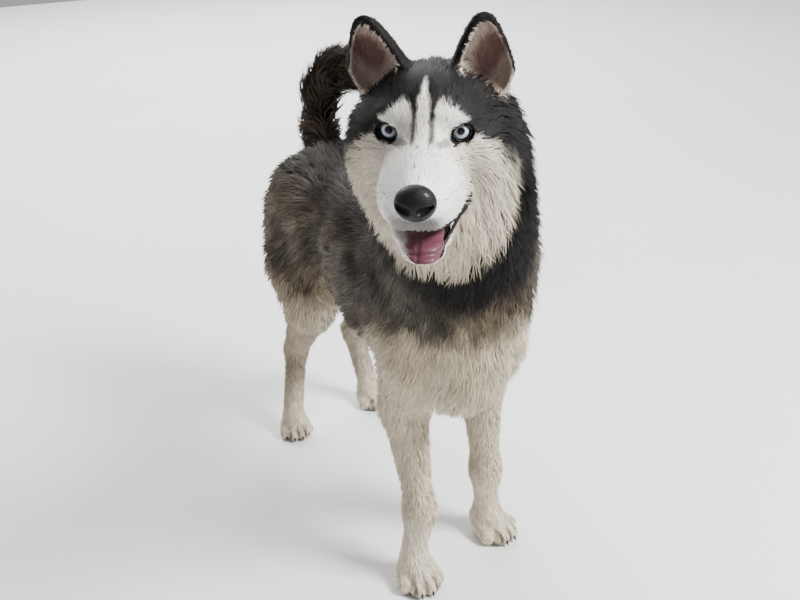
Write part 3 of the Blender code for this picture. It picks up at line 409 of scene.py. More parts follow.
# The coat's lie as (place, direction, reach), in the dog's frame and in the head's. Both sides share each row.
BODY_LIE = (
    ((0.000, -0.160, 0.640), (0.0, 0.60, -0.80), 0.07),
    ((0.080, -0.200, 0.600), (0.05, 0.40, -0.90), 0.07),
    ((0.030, -0.330, 0.600), (0.0, 0.15, -1.00), 0.07),
    ((0.000, -0.270, 0.450), (0.0, 0.12, -1.00), 0.07),
    ((0.000, -0.200, 0.320), (0.0, 0.70, -0.70), 0.06),
    ((0.000, -0.070, 0.560), (0.0, 0.90, -0.30), 0.08),
    ((0.000, 0.100, 0.550), (0.0, 1.00, 0.00), 0.10),
    ((0.000, 0.270, 0.550), (0.0, 0.80, -0.60), 0.06),
    ((0.100, 0.020, 0.430), (0.0, 0.90, -0.45), 0.09),
    ((0.090, -0.150, 0.430), (0.0, 0.30, -0.95), 0.07),
    ((0.000, 0.050, 0.310), (0.0, 1.00, 0.00), 0.08),
    ((0.110, 0.240, 0.420), (0.0, 0.50, -0.87), 0.08),
    ((0.075, 0.320, 0.340), (0.0, 0.40, -0.92), 0.06),
    ((0.085, 0.150, 0.310), (0.0, 0.05, -1.00), 0.06),
    ((0.070, 0.330, 0.180), (0.0, 0.15, -1.00), 0.06),
    ((0.070, 0.330, 0.060), (0.0, -0.10, -1.00), 0.05),
    ((0.070, -0.130, 0.200), (0.0, 0.05, -1.00), 0.09),
    ((0.070, -0.140, 0.050), (0.0, -0.30, -0.95), 0.05),
)
HEAD_LIE = (
    ((0.000, -0.070, -0.010), (0.0, 1.00, 0.20), 0.020),
    ((0.000, 0.000, 0.025), (0.0, 0.80, 0.60), 0.022),
    ((0.000, 0.065, 0.045), (0.0, 1.00, 0.00), 0.035),
    ((0.000, 0.125, 0.000), (0.0, 0.50, -0.85), 0.045),
    ((0.050, 0.015, 0.000), (0.5, 0.80, 0.10), 0.022),
    ((0.045, -0.010, -0.040), (0.5, 0.80, -0.25), 0.024),
    ((0.085, 0.055, -0.040), (0.5, 0.60, -0.65), 0.032),
    ((0.065, 0.050, -0.100), (0.4, 0.30, -0.90), 0.034),
    ((0.030, -0.070, -0.045), (0.15, 0.95, -0.30), 0.022),
    ((0.000, -0.070, -0.105), (0.0, 0.90, -0.30), 0.022),
    ((0.000, 0.010, -0.120), (0.0, 0.45, -0.90), 0.035),
)


def lie_anchors():
    """Places, directions and reaches of the lie, in the dog's frame."""
    rows = []
    for _, side in SIDES:
        mirror = vec(side, 1, 1)
        rows += [(mirror * at, mirror * along, reach) for at, along, reach in BODY_LIE]
        for at, along, reach in HEAD_LIE:
            rows.append((in_head(*(mirror * at)), HEAD_TURN @ (mirror * along), reach))
    for (a, radius), (b, _) in zip(TAIL_LINE[:-1], TAIL_LINE[1:]):
        rows.append(((vec(*a) + b) / 2, vec(*b) - a, radius))
    places, directions, reaches = (np.array(column) for column in zip(*rows))
    return places, directions / np.linalg.norm(directions, axis=1)[:, None], reaches


def lie(points, normals):
    """The way the coat lies at each point, along its surface."""
    places, directions, reaches = lie_anchors()
    weights = np.exp(-((np.linalg.norm(points[:, None] - places, axis=2) / reaches) ** 2)) + 1e-9
    along = weights @ directions / weights.sum(axis=1)[:, None]
    along = along - (along * normals).sum(axis=1)[:, None] * normals
    return along / np.maximum(np.linalg.norm(along, axis=1), 0.1)[:, None]




# A cell's twelve edges, as (corner, axis), and the four corners round each of its six faces
EDGES = [(corner, axis) for axis in range(3) for corner in CORNERS if not corner[axis]]
FACE_WALK = ((0, 0), (1, 0), (1, 1), (0, 1))


def cell_faces():
    """For each face of a cell: its corners in order, and the edge from each corner to the next."""
    faces = []
    for axis in range(3):
        u, v = (axis + 1) % 3, (axis + 2) % 3
        for side in (0, 1):
            corners = [tuple(side * UNITS[axis] + du * UNITS[u] + dv * UNITS[v]) for du, dv in FACE_WALK]
            edges = []
            for a, b in zip(corners, corners[1:] + corners[:1]):
                along = next(i for i in range(3) if a[i] != b[i])
                edges.append(EDGES.index((min(a, b), along)))
            faces.append((corners, edges))
    return faces


CELL_FACES = cell_faces()


def loops_of_cell(inside):
    """Groups a cell's crossed edges into the separate pieces of surface that pass through it."""
    group = {i: i for i, (c, axis) in enumerate(EDGES) if inside[c] != inside[tuple(c + UNITS[axis])]}
    for corners, edges in CELL_FACES:
        crossed = [edge for edge in edges if edge in group]
        pairs = [crossed] if len(crossed) == 2 else []
        if len(crossed) == 4:
            pairs = [(edges[i - 1], edges[i]) for i in range(4) if inside[corners[i]]]
        for a, b in pairs:
            joined, gone = group[a], group[b]
            group = {edge: joined if name == gone else name for edge, name in group.items()}
    return group


def surface_net(samples, low, step):
    """Vertices and quads of the zero level of a grid: one vertex for each piece of surface in a cell."""
    inside = samples < 0
    cells = np.array(samples.shape) - 1
    count = np.zeros(cells, np.int8)
    for i, j, k in CORNERS:
        count += inside[i : i + cells[0], j : j + cells[1], k : k + cells[2]]
    at = np.argwhere((count > 0) & (count < 8))
    index = np.full(cells, -1, np.int64)
    index[tuple(at.T)] = np.arange(len(at))
    points = np.zeros((len(at), len(EDGES), 3))
    crossed = np.zeros((len(at), len(EDGES)), bool)
    for i, (corner, axis) in enumerate(EDGES):
        here = samples[tuple((at + corner).T)]
        there = samples[tuple((at + corner + UNITS[axis]).T)]
        crossed[:, i] = (here < 0) != (there < 0)
        share = np.where(crossed[:, i], here / np.where(crossed[:, i], here - there, 1), 0)
        points[:, i] = np.array(corner) + share[:, None] * UNITS[axis]
    vertices = (points * crossed[..., None]).sum(axis=1) / crossed.sum(axis=1)[:, None]
    vertex_of = np.repeat(np.arange(len(at))[:, None], len(EDGES), axis=1)
    extra = []
    for cell in np.flatnonzero(crossed.sum(axis=1) > 5):
        group = loops_of_cell({corner: bool(inside[tuple(at[cell] + corner)]) for corner in CORNERS})
        for n, name in enumerate(sorted(set(group.values()))):
            edges = [edge for edge in group if group[edge] == name]
            middle = points[cell, edges].mean(axis=0)
            if n == 0:
                vertices[cell] = middle
            else:
                vertex_of[cell, edges] = len(at) + len(extra)
                extra.append(at[cell] + middle)
    vertices = np.concatenate([at + vertices, np.array(extra).reshape(-1, 3)])
    quads = []
    for axis in range(3):
        first = np.take(inside, range(samples.shape[axis] - 1), axis)
        second = np.take(inside, range(1, samples.shape[axis]), axis)
        edges = np.argwhere(first != second)
        u, v = UNITS[(axis + 1) % 3], UNITS[(axis + 2) % 3]
        around = []
        for du, dv in ((1, 1), (0, 1), (0, 0), (1, 0)):
            corner = du * u + dv * v
            around.append(vertex_of[index[tuple((edges - corner).T)], EDGES.index((tuple(corner), axis))])
        quad = np.stack(around, axis=1)
        leaving = ~first[tuple(edges.T)]
        quad[leaving] = quad[leaving][:, ::-1]
        quads.append(quad)
    return low + step * vertices, np.concatenate(quads)


def mesh_of_field(name, masses, low, high, step, depth=None, block=6):
    """A closed mesh of the field inside a box, sunk by the depth at each point.

    Only the blocks near it are sampled finely.
    """

    def sunk_field(points):
        sunk = 0 if depth is None else depth(points)
        return field(points, masses) + sunk

    low, high = vec(*low), vec(*high)
    blocks = np.ceil((high - low) / (step * block)).astype(int)
    middles = [low[i] + step * block * (np.arange(blocks[i]) + 0.5) for i in range(3)]
    coarse = sunk_field(np.stack(np.meshgrid(*middles, indexing="ij"), -1).reshape(-1, 3)).reshape(blocks)
    samples = np.full(blocks * block + 1, 1.0)
    near = np.zeros(samples.shape, bool)

    def fine(grid):
        return grid.repeat(block, 0).repeat(block, 1).repeat(block, 2)

    samples[:-1, :-1, :-1] = np.where(fine(coarse) < 0, -1.0, 1.0)
    wanted = fine(np.abs(coarse) < step * block * 1.3)
    for i, j, k in CORNERS:
        near[i : i + wanted.shape[0], j : j + wanted.shape[1], k : k + wanted.shape[2]] |= wanted
    samples[near] = sunk_field(low + step * np.argwhere(near))
    for axis in range(3):
        edge = [slice(None)] * 3
        for end in (0, -1):
            edge[axis] = end
            samples[tuple(edge)] = step
    vertices, quads = surface_net(samples, low, step)
    mesh = bpy.data.meshes.new(name)
    mesh.from_pydata(vertices.tolist(), [], quads.tolist())
    return mesh


TONGUE_LINE = (
    ((0.001, -0.024, -0.0750), 0.0140, 0.0050),
    ((0.003, -0.045, -0.0755), 0.0165, 0.0058),
    ((0.005, -0.068, -0.0788), 0.0176, 0.0060),
    ((0.0065, -0.088, -0.0825), 0.0172, 0.0055),
    ((0.0070, -0.098, -0.0890), 0.0148, 0.0045),
)


def tongue_masses():
    """A flat, broad tongue that lies along the jaw and drops over its front."""
    masses = []
    for (a, half_width, half_height), (b, next_width, _) in zip(TONGUE_LINE[:-1], TONGUE_LINE[1:]):
        masses.append(head_rod(a, b, half_width, next_width, 0.006, half_height / half_width))
    return masses


# Hair as (place, reach, length, depth of the skin under the coat, width of a tuft, cover), lengths in millimetres.
# Cover is how many times over the tufts would hide the skin. First in the dog's frame, then in the head's.
BODY_HAIR = (
    ((0.090, 0.050, 0.430), 0.10, 34, 11, 3.4, 4.5),
    ((0.000, 0.100, 0.550), 0.10, 40, 12, 3.6, 4.5),
    ((0.000, 0.280, 0.520), 0.07, 42, 12, 3.6, 4.5),
    ((0.000, 0.050, 0.310), 0.08, 32, 9, 3.2, 4.0),
    ((0.000, -0.270, 0.420), 0.08, 42, 11, 2.2, 5.6),
    ((0.000, -0.200, 0.330), 0.06, 30, 9, 2.4, 4.6),
    ((0.000, -0.160, 0.640), 0.08, 50, 13, 2.5, 5.4),
    ((0.090, -0.200, 0.580), 0.08, 48, 13, 2.4, 5.4),
    ((0.030, -0.330, 0.600), 0.07, 46, 13, 2.2, 5.6),
    ((0.090, -0.150, 0.430), 0.07, 34, 10, 2.8, 4.6),
    ((0.080, -0.130, 0.300), 0.05, 20, 6, 2.4, 3.2),
    ((0.080, -0.130, 0.180), 0.06, 13, 3.6, 1.9, 1.9),
    ((0.080, -0.130, 0.050), 0.05, 10, 2.2, 1.7, 1.7),
    ((0.090, 0.240, 0.420), 0.08, 36, 10, 3.2, 4.5),
    ((0.070, 0.335, 0.360), 0.06, 46, 10, 3.0, 5.0),
    ((0.075, 0.240, 0.270), 0.05, 24, 6, 2.5, 3.6),
    ((0.070, 0.350, 0.240), 0.04, 24, 6, 2.4, 3.4),
    ((0.065, 0.370, 0.140), 0.05, 14, 3.6, 1.9, 1.9),
    ((0.070, 0.330, 0.030), 0.05, 10, 2.2, 1.7, 1.7),
)
HEAD_HAIR = (
    ((0.000, -0.080, -0.030), 0.025, 6, 1.4, 1.1, 2.8),
    ((0.022, -0.070, -0.060), 0.020, 7, 1.6, 1.1, 2.8),
    ((0.000, -0.020, 0.010), 0.020, 8, 1.8, 1.2, 2.8),
    ((0.033, -0.005, 0.000), 0.014, 5, 0.8, 1.0, 2.6),
    ((0.000, 0.020, 0.035), 0.025, 11, 3.0, 1.4, 3.0),
    ((0.000, 0.080, 0.045), 0.035, 20, 5.0, 1.9, 3.4),
    ((0.000, 0.130, 0.010), 0.045, 34, 9.0, 2.6, 4.0),
    ((0.042, -0.014, -0.040), 0.020, 12, 2.6, 1.3, 3.2),
    ((0.050, 0.006, -0.060), 0.022, 17, 4.5, 1.5, 3.6),
    ((0.070, 0.040, -0.050), 0.030, 23, 7.0, 1.7, 4.0),
    ((0.085, 0.070, -0.070), 0.030, 32, 9.0, 1.8, 4.6),
    ((0.000, -0.070, -0.100), 0.020, 7, 1.4, 1.2, 2.8),
    ((0.000, -0.010, -0.115), 0.030, 14, 3.5, 1.7, 3.2),
    ((0.000, 0.040, -0.140), 0.035, 32, 9.0, 2.0, 4.6),
)
EAR_HAIR = (7, 0.9, 1.1, 2.6)
CUP_HAIR = (12, 0.9, 1.0, 2.0)
TAIL_HAIR_SHARES = (1.65, 0.45)
TAIL_TUFT_WIDTH, TAIL_COVER = 2.6, 7.0

# Colours as (place, reach, red, green, blue, how banded the hairs are), on a 0 to 255 screen scale
DARK_COAT = (
    ((0.000, -0.300, 0.760), 0.08, 38, 37, 38, 0.34),
    ((0.000, -0.200, 0.680), 0.08, 26, 24, 24, 0.30),
    ((0.090, -0.220, 0.600), 0.07, 24, 22, 21, 0.35),
    ((0.020, -0.330, 0.590), 0.05, 13, 11, 10, 0.12),
    ((0.030, -0.310, 0.535), 0.045, 13, 11, 10, 0.15),
    ((0.000, -0.270, 0.465), 0.040, 92, 84, 72, 0.55),
    ((0.100, -0.220, 0.500), 0.050, 84, 79, 72, 0.55),
    ((0.000, -0.050, 0.560), 0.08, 48, 45, 43, 0.45),
    ((0.100, -0.120, 0.480), 0.08, 72, 68, 63, 0.55),
    ((0.000, 0.120, 0.550), 0.08, 52, 48, 46, 0.50),
    ((0.100, 0.050, 0.430), 0.09, 88, 82, 74, 0.60),
    ((0.000, 0.270, 0.550), 0.06, 46, 43, 41, 0.45),
    ((0.110, 0.240, 0.430), 0.08, 94, 87, 77, 0.50),
    ((0.080, 0.340, 0.370), 0.06, 106, 97, 85, 0.42),
    ((0.040, 0.280, 0.640), 0.08, 22, 20, 18, 0.20),
)
PALE_COAT = (
    ((0.000, -0.300, 0.420), 0.07, 196, 183, 158, 0.16),
    ((0.000, 0.050, 0.310), 0.10, 200, 189, 168, 0.14),
    ((0.080, -0.140, 0.250), 0.10, 188, 176, 154, 0.12),
    ((0.080, -0.140, 0.030), 0.05, 218, 205, 183, 0.08),
    ((0.080, 0.250, 0.280), 0.07, 156, 143, 124, 0.20),
    ((0.070, 0.360, 0.150), 0.07, 164, 152, 134, 0.14),
    ((0.070, 0.320, 0.020), 0.05, 210, 199, 178, 0.08),
)
MASK_COAT = (
    ((0.000, -0.080, -0.030), 0.050, 246, 244, 238, 0.02),
    ((0.000, -0.010, 0.020), 0.030, 244, 240, 232, 0.02),
    ((0.050, -0.010, -0.030), 0.024, 192, 181, 166, 0.10),
    ((0.070, 0.030, -0.060), 0.030, 194, 183, 165, 0.16),
    ((0.085, 0.050, -0.080), 0.040, 186, 175, 157, 0.20),
    ((0.000, 0.000, -0.120), 0.050, 200, 189, 170, 0.16),
    ((0.012, -0.080, -0.110), 0.016, 208, 198, 181, 0.10),
    ((0.000, 0.030, -0.170), 0.040, 172, 161, 143, 0.22),
)

# Outlines of the face's patches, (across, up) in the head's frame, in millimetres
BROW = ((11.5, 2), (10.5, 22), (13, 28), (18, 30.5), (24, 29), (33, 24), (45, 13), (40, 9), (30, 7))
BLAZE_HEIGHTS = (0.000, 0.008, 0.032, 0.047)
BLAZE_HALF_WIDTHS = (0.0080, 0.0070, 0.0056, 0.0)
MASK_MIDDLE, MASK_HALF_WIDTH, MASK_UP, MASK_DOWN = -0.085, 0.094, 0.101, 0.098
# Dark strokes at the corners of the lids, (from, to, half width, strength), left side, in the head's frame
LID_STROKES = (
    ((0.0430, 0.002, 0.001), (0.0540, 0.010, 0.007), 0.0022, 0.95),
    ((0.0230, -0.024, -0.006), (0.0165, -0.036, -0.004), 0.0040, 0.42),
)
PAD_HEIGHTS = (-0.034, -0.041, -0.048)
# Small dark specks on the bridge of the muzzle, (place, radius)
SPECKS = (
    ((-0.0030, -0.0770, -0.0080), 0.0012),
    ((0.0030, -0.0930, -0.0130), 0.0006),
    ((-0.0030, -0.0490, 0.0000), 0.0008),
    ((-0.0020, -0.0420, 0.0020), 0.0008),
)
PALE_LINE_Y = (-0.31, -0.24, -0.15, -0.05, 0.15, 0.25, 0.35, 0.42)
PALE_LINE_Z = (0.440, 0.436, 0.410, 0.355, 0.350, 0.340, 0.325, 0.320)

FEET = (
    ((-0.088, 0.314), -8, HIND_PAW_SIZE),
    ((0.076, 0.350), 10, HIND_PAW_SIZE),
    ((-0.055, -0.158), -4, FORE_PAW_SIZE),
    ((0.095, -0.104), 18, FORE_PAW_SIZE),
)
HEAD_STEP, BODY_STEP = 0.0021, 0.006
TUFT_SEED = 11
CLUMP_SIZE = 7


def to_scene():
    """From the form's origin to the frame's, read from where the left eye's node is."""
    low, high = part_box("eye_left")
    return (vec(*low) + vec(*high)) / 2 - in_head(*EYE_AT)


def to_head(points):
    return (points - vec(*HEAD_AT)) @ HEAD_TURN


def rows_of(body_rows, head_rows=()):
    """Places, reaches and values of a table, for both sides, in the dog's frame."""
    found = []
    for _, side in SIDES:
        mirror = vec(side, 1, 1)
        found += [(mirror * row[0], row[1], row[2:]) for row in body_rows]
        found += [(in_head(*(mirror * row[0])), row[1], row[2:]) for row in head_rows]
    places, reaches, values = zip(*found)
    return np.array(places), np.array(reaches), np.array(values, float)


def blended(points, rows):
    """The table's values at each point, from the rows near it."""
    places, reaches, values = rows
    weights = np.exp(-((np.linalg.norm(points[:, None] - places, axis=2) / reaches) ** 2)) + 1e-9
    return weights @ values / weights.sum(axis=1)[:, None]


def steps(value, width):
    """Zero below minus the width, one above it, smooth between."""
    share = np.clip(value / (2 * width) + 0.5, 0, 1)
    return share * share * (3 - 2 * share)


def noise(points, size, seed):
    """Smooth random values from 0 to 1 that change over the given size."""
    lattice = np.random.default_rng(seed).random((24, 24, 24))
    scaled = points / size + 100
    low = np.floor(scaled).astype(int)
    share = scaled - low
    share = share * share * (3 - 2 * share)
    total = np.zeros(len(points))
    for corner in CORNERS:
        weight = np.where(corner, share, 1 - share).prod(axis=1)
        total += weight * lattice[tuple(((low + corner) % 24).T)]
    return total


def ragged(points, size, seed):
    """Noise of two sizes, from -1 to 1, for the edges of markings."""
    return 1.3 * (noise(points, size, seed) - 0.5) + 0.7 * (noise(points, size * 0.4, seed + 1) - 0.5)


def ear_shares(points):
    """For each side, how far each point is part of the ear, and how far it is inside its cup."""
    found = []
    for _, side in SIDES:
        at, axes = ear_frame(side)
        x, y, z = ((points - at) @ axes).T
        near = (np.abs(x) < 0.05) & (np.abs(y) < 0.05) & (z > -0.034) & (z < EAR_LENGTH + 0.01)
        on_ear = np.zeros(len(points))
        on_ear[near] = np.clip((0.006 - ear(side).distance(points[near])) / 0.003, 0, 1)
        on_ear *= np.clip((z + 0.032) / 0.010, 0, 1)
        taper = np.clip(1 - z / (EAR_LENGTH * EAR_CUP_SHARE), 0.001, 1) ** 0.62
        ring = np.sqrt(((x - side * 0.0016) / (EAR_HALF_WIDTH * taper)) ** 2 + (y / (EAR_DEPTH * taper)) ** 2)
        ragged_edge = 0.10 * (noise(points, 0.006, 41) - 0.5)
        found.append((on_ear, on_ear * steps(0.93 + ragged_edge - ring, 0.05) * (z < EAR_LENGTH * EAR_CUP_SHARE)))
    return found


def hair_at(points):
    """Length, depth, width and cover of the coat at each point, in metres, and whether it is the tail's."""
    values = blended(points, HAIR_ROWS)
    for on_ear, in_cup in ear_shares(points):
        values += on_ear[:, None] * (np.array(EAR_HAIR) - values)
        values += in_cup[:, None] * (np.array(CUP_HAIR) - values)
    distance, radius = near_tail(points)
    on_tail = np.clip((1.5 * radius - distance) / (0.3 * radius + 1e-9), 0, 1) * np.clip((points[:, 1] - 0.10) / 0.01, 0, 1)
    on_tail *= np.clip((points[:, 2] - 0.545) / 0.03, 0, 1)
    length, depth = (share * radius * 1000 for share in TAIL_HAIR_SHARES)
    tail_values = np.stack([length, depth, np.full(len(points), TAIL_TUFT_WIDTH), np.full(len(points), TAIL_COVER)], 1)
    values += on_tail[:, None] * (tail_values - values)
    return values * (0.001, 0.001, 0.001, 1), on_tail


def skin_depth(points):
    """How far the skin lies under the coat's outer face."""
    return hair_at(points)[0][:, 1]


def outline_distance(across, up, corners):
    """Signed distance to a closed outline, below zero inside."""
    corners = np.array(corners) / 1000
    nearest = np.full(len(across), 1.0)
    inside = np.zeros(len(across), bool)
    for (ax, ay), (bx, by) in zip(corners, np.roll(corners, -1, axis=0)):
        ex, ey = bx - ax, by - ay
        share = np.clip(((across - ax) * ex + (up - ay) * ey) / (ex * ex + ey * ey), 0, 1)
        nearest = np.minimum(nearest, np.hypot(across - ax - share * ex, up - ay - share * ey))
        crosses = (ay > up) != (by > up)
        inside ^= crosses & (across < ax + (up - ay) * ex / np.where(ey == 0, 1, ey))
    return np.where(inside, -nearest, nearest)


def almond_distance(points, side):
    """Distance outside the opening of the lids, seen from in front of the eye."""
    across, back, up = EYE_AT
    axes = HEAD_TURN @ turn_z(side * 14) @ turn_y(side * -7)
    x, y, z = ((points - in_head(side * across, back, up)) @ axes).T
    half_width, half_height = ALMOND
    reach = np.hypot(x / half_width, z / (half_height * 0.86))
    distance = (reach - 1) * half_height
    return np.where((y < 0.004) & (np.abs(x) < 0.03), distance, 1.0)


def toe_cleft_shade(points):
    """How far each point is in a cleft between two toes, where painted shade darkens the coat."""
    found = np.zeros(len(points))
    for at, heading, size in FEET:
        x, y, z = ((points - vec(at[0], at[1], 0)) @ turn_z(heading)).T / size
        front = steps(-0.014 - y, 0.006) * steps(0.026 - z, 0.006) * (np.abs(x) < 0.04) * (y > -0.06)
        for middle, width in ((0.0, 0.0028), (-0.0158, 0.0025), (0.0158, 0.0025)):
            found = np.maximum(found, front * np.exp(-(((x - middle * (1 - (y + 0.03) * 4)) / width) ** 2)))
    return found


def tongue_distance(points):
    """Distance outside the tongue, where it is small."""
    near = np.linalg.norm(points - in_head(0.004, -0.07, -0.08), axis=1) < 0.06
    found = np.full(len(points), 1.0)
    found[near] = field(points[near], tongue_masses())
    return found


def below_tongue(points):
    """Above zero on the dark lip that runs round the tongue, which is broader on the left side."""
    x, y, z = to_head(points).T
    left = steps(x - 0.012, 0.004)
    round_tongue = 0.0092 + 0.0035 * left - tongue_distance(points)
    under_mouth = 0.0058 + 0.0026 * left - mouth().distance(points)
    low = (z < MOUTH_HEIGHT - 0.012) & (y < -0.052) & (x > -0.008)
    return np.where(low, np.maximum(round_tongue, under_mouth), round_tongue)


def markings(points):
    """The coat's colour at each point, linear, with painted shade under the nose and in the clefts between the toes,
    and how banded its hairs are.
    """
    dark, pale, mask = (blended(points, rows) for rows in COLOUR_ROWS)
    x, y, z = to_head(points).T
    side = np.abs(x)
    edge = 0.0035 * ragged(points, 0.012, 3)
    mask_height = np.where(z > MASK_MIDDLE, MASK_UP, MASK_DOWN)
    ellipse = (np.sqrt((x / MASK_HALF_WIDTH) ** 2 + ((z - MASK_MIDDLE) / mask_height) ** 2) - 1) * 0.09
    face = np.maximum(ellipse, y - 0.052)
    brow = outline_distance(side, z, BROW)
    half_width = np.interp(z, BLAZE_HEIGHTS, BLAZE_HALF_WIDTHS)
    blaze = np.maximum(np.maximum(side - half_width, y - 0.014), np.maximum(-0.01 - z, z - BLAZE_HEIGHTS[-1]))
    light = np.where(y < 0.055, np.minimum(np.minimum(brow, blaze), face), 1.0)
    soft = np.where(z > -0.02, 0.0024, 0.006)
    on_face = steps(-(light + edge * np.where(z > -0.02, 0.8, 1.4)), soft)
    streak = np.clip(1.2 - np.abs(side - 0.0088) / 0.0036, 0, 1) * steps(y + 0.042, 0.006) * steps(0.017 - z, 0.006)
    on_face = on_face * (1 - 0.72 * streak * (y < 0.0))
    line = np.interp(points[:, 1], PALE_LINE_Y, PALE_LINE_Z)
    below = line - points[:, 2] + 0.030 * ragged(points, 0.045, 21)
    paleness = steps(below, 0.020)
    distance, radius = near_tail(points)
    tail_edge = steps(distance / np.maximum(radius, 1e-6) - 0.85, 0.25) * (distance < 0.06) * (points[:, 2] > 0.56)
    body = dark + paleness[:, None] * (pale - dark)
    body[:, :3] += (tail_edge * 0.8)[:, None] * (vec(96, 84, 70) - body[:, :3])
    found = body + on_face[:, None] * (mask - body)
    mottle = noise(points, 0.030, 31) - 0.5 + 0.7 * (noise(points, 0.011, 33) - 0.5)
    found[:, :3] *= 1 + (mottle * (0.05 + 1.5 * np.maximum(found[:, 3] - 0.10, 0)))[:, None]
    tan = steps(noise(points, 0.040, 35) - 0.55, 0.10) * found[:, 3]
    found[:, :3] *= 1 + tan[:, None] * vec(0.14, 0.09, 0.02)
    # Dark marks round the eyes, specks and whisker spots, and painted shade under the nose
    dark_marks_and_shade = np.zeros(len(points))
    for _, eye_side in SIDES:
        dark_marks_and_shade = np.maximum(dark_marks_and_shade, steps(0.0026 - almond_distance(points, eye_side), 0.0010))
        for a, b, width, strength in LID_STROKES:
            ends = [in_head(eye_side * at[0], *at[1:]) for at in (a, b)]
            stroke = rod(*ends, width, width * 0.5, 0).distance(points)
            dark_marks_and_shade = np.maximum(dark_marks_and_shade, steps(0.0015 - stroke, 0.002) * strength)
    for at, radius in SPECKS:
        dark_marks_and_shade = np.maximum(dark_marks_and_shade, 0.85 * steps(radius + 0.0006 - np.linalg.norm(points - in_head(*at), axis=1), 0.0008))
    for row, height in enumerate(PAD_HEIGHTS):
        for column in range(5):
            dot = np.hypot(y - (-0.092 + 0.010 * column + 0.003 * row), z - height)
            dark_marks_and_shade = np.maximum(dark_marks_and_shade, 0.40 * steps(0.0012 - dot, 0.0008) * (side > 0.012))
    # Painted shade on the upper lip under the nose, over darker hair there
    under_nose_shade = steps(0.024 - side, 0.008) * steps(-0.046 - z, 0.006) * steps(-0.086 - y, 0.008) * (z > -0.075)
    dark_marks_and_shade = np.maximum(dark_marks_and_shade, 0.55 * under_nose_shade)
    found[:, :3] += dark_marks_and_shade[:, None] * (vec(28, 25, 24) - found[:, :3])
    # Painted shade in the clefts between the toes
    between = toe_cleft_shade(points)
    found[:, :3] += (0.75 * between)[:, None] * (vec(66, 56, 47) - found[:, :3])
    gap = mouth().distance(points)
    lip = steps(0.0036 - gap, 0.0008) * ((z < MOUTH_HEIGHT + 0.0006) | (side > 0.012))
    lip = np.maximum(lip, steps(below_tongue(points), 0.0010) * (z < MOUTH_HEIGHT - 0.004))
    lip *= np.where((x < -0.008) & (y > -0.100), 0.25, 1.0)
    found[:, :3] += lip[:, None] * (vec(28, 24, 24) - found[:, :3])
    for (on_ear, in_cup), (_, ear_side) in zip(ear_shares(points), SIDES):
        at, axes = ear_frame(ear_side)
        ex, ey, ez = ((points - at) @ axes).T
        rim = on_ear * (1 - in_cup)
        out = np.hypot((ex - ear_side * 0.010) / 0.013, (ez - 0.014) / 0.024)
        bare = steps(0.95 - out, 0.30)
        downy = steps(2.0 - out + 1.2 * (noise(points, 0.007, 43) - 0.5), 0.50)
        lining = vec(222, 210, 194) + downy[:, None] * (vec(172, 154, 141) - vec(222, 210, 194))
        lining = lining + bare[:, None] * (vec(117, 90, 85) - lining)
        found[:, :3] += rim[:, None] * (vec(32, 30, 29) - found[:, :3])
        found[:, :3] += in_cup[:, None] * (lining - found[:, :3])
        found[:, 3] *= 1 - on_ear
    found[:, :3] = (np.clip(found[:, :3], 0, 255) / 255) ** 2.2
    return found[:, :3], found[:, 3]


def surface_material(name, colour_name, roughness, bump_size, bump_height, shade=0.25, streak=0.0):
    """A finish whose colour comes from the mesh, varied and bumped by noise."""
    made = bpy.data.materials.new(name)
    made.use_nodes = True
    tree = made.node_tree
    nodes, link = tree.nodes, tree.links.new
    finish = nodes["Principled BSDF"]
    colour = nodes.new("ShaderNodeAttribute")
    colour.attribute_name = colour_name
    place = nodes.new("ShaderNodeTexCoord")
    grain = nodes.new("ShaderNodeTexNoise")
    grain.inputs["Scale"].default_value = 1 / bump_size
    grain.inputs["Detail"].default_value = 3
    link(place.outputs["Object"], grain.inputs["Vector"])
    if streak:
        strand = nodes.new("ShaderNodeUVMap")
        strand.uv_map = "Strand"
        link(strand.outputs["UV"], grain.inputs["Vector"])
        grain.inputs["Scale"].default_value = streak
    vary = nodes.new("ShaderNodeMapRange")
    vary.inputs["From Min"].default_value = 0.3
    vary.inputs["From Max"].default_value = 0.7
    vary.inputs["To Min"].default_value = 1 - shade
    vary.inputs["To Max"].default_value = 1 + shade
    link(grain.outputs["Fac"], vary.inputs["Value"])
    tone = nodes.new("ShaderNodeVectorMath")
    tone.operation = "SCALE"
    link(colour.outputs["Color"], tone.inputs[0])
    link(vary.outputs["Result"], tone.inputs["Scale"])
    link(tone.outputs["Vector"], finish.inputs["Base Color"])
    rough = nodes.new("ShaderNodeMapRange")
    rough.inputs["To Min"].default_value = roughness - 0.08
    rough.inputs["To Max"].default_value = roughness + 0.08
    link(grain.outputs["Fac"], rough.inputs["Value"])
    link(rough.outputs["Result"], finish.inputs["Roughness"])
    if bump_height:
        bump = nodes.new("ShaderNodeBump")
        bump.inputs["Distance"].default_value = bump_height
        link(grain.outputs["Fac"], bump.inputs["Height"])
        link(bump.outputs["Normal"], finish.inputs["Normal"])
    finish.inputs["Specular IOR Level"].default_value = 0.10
    return made


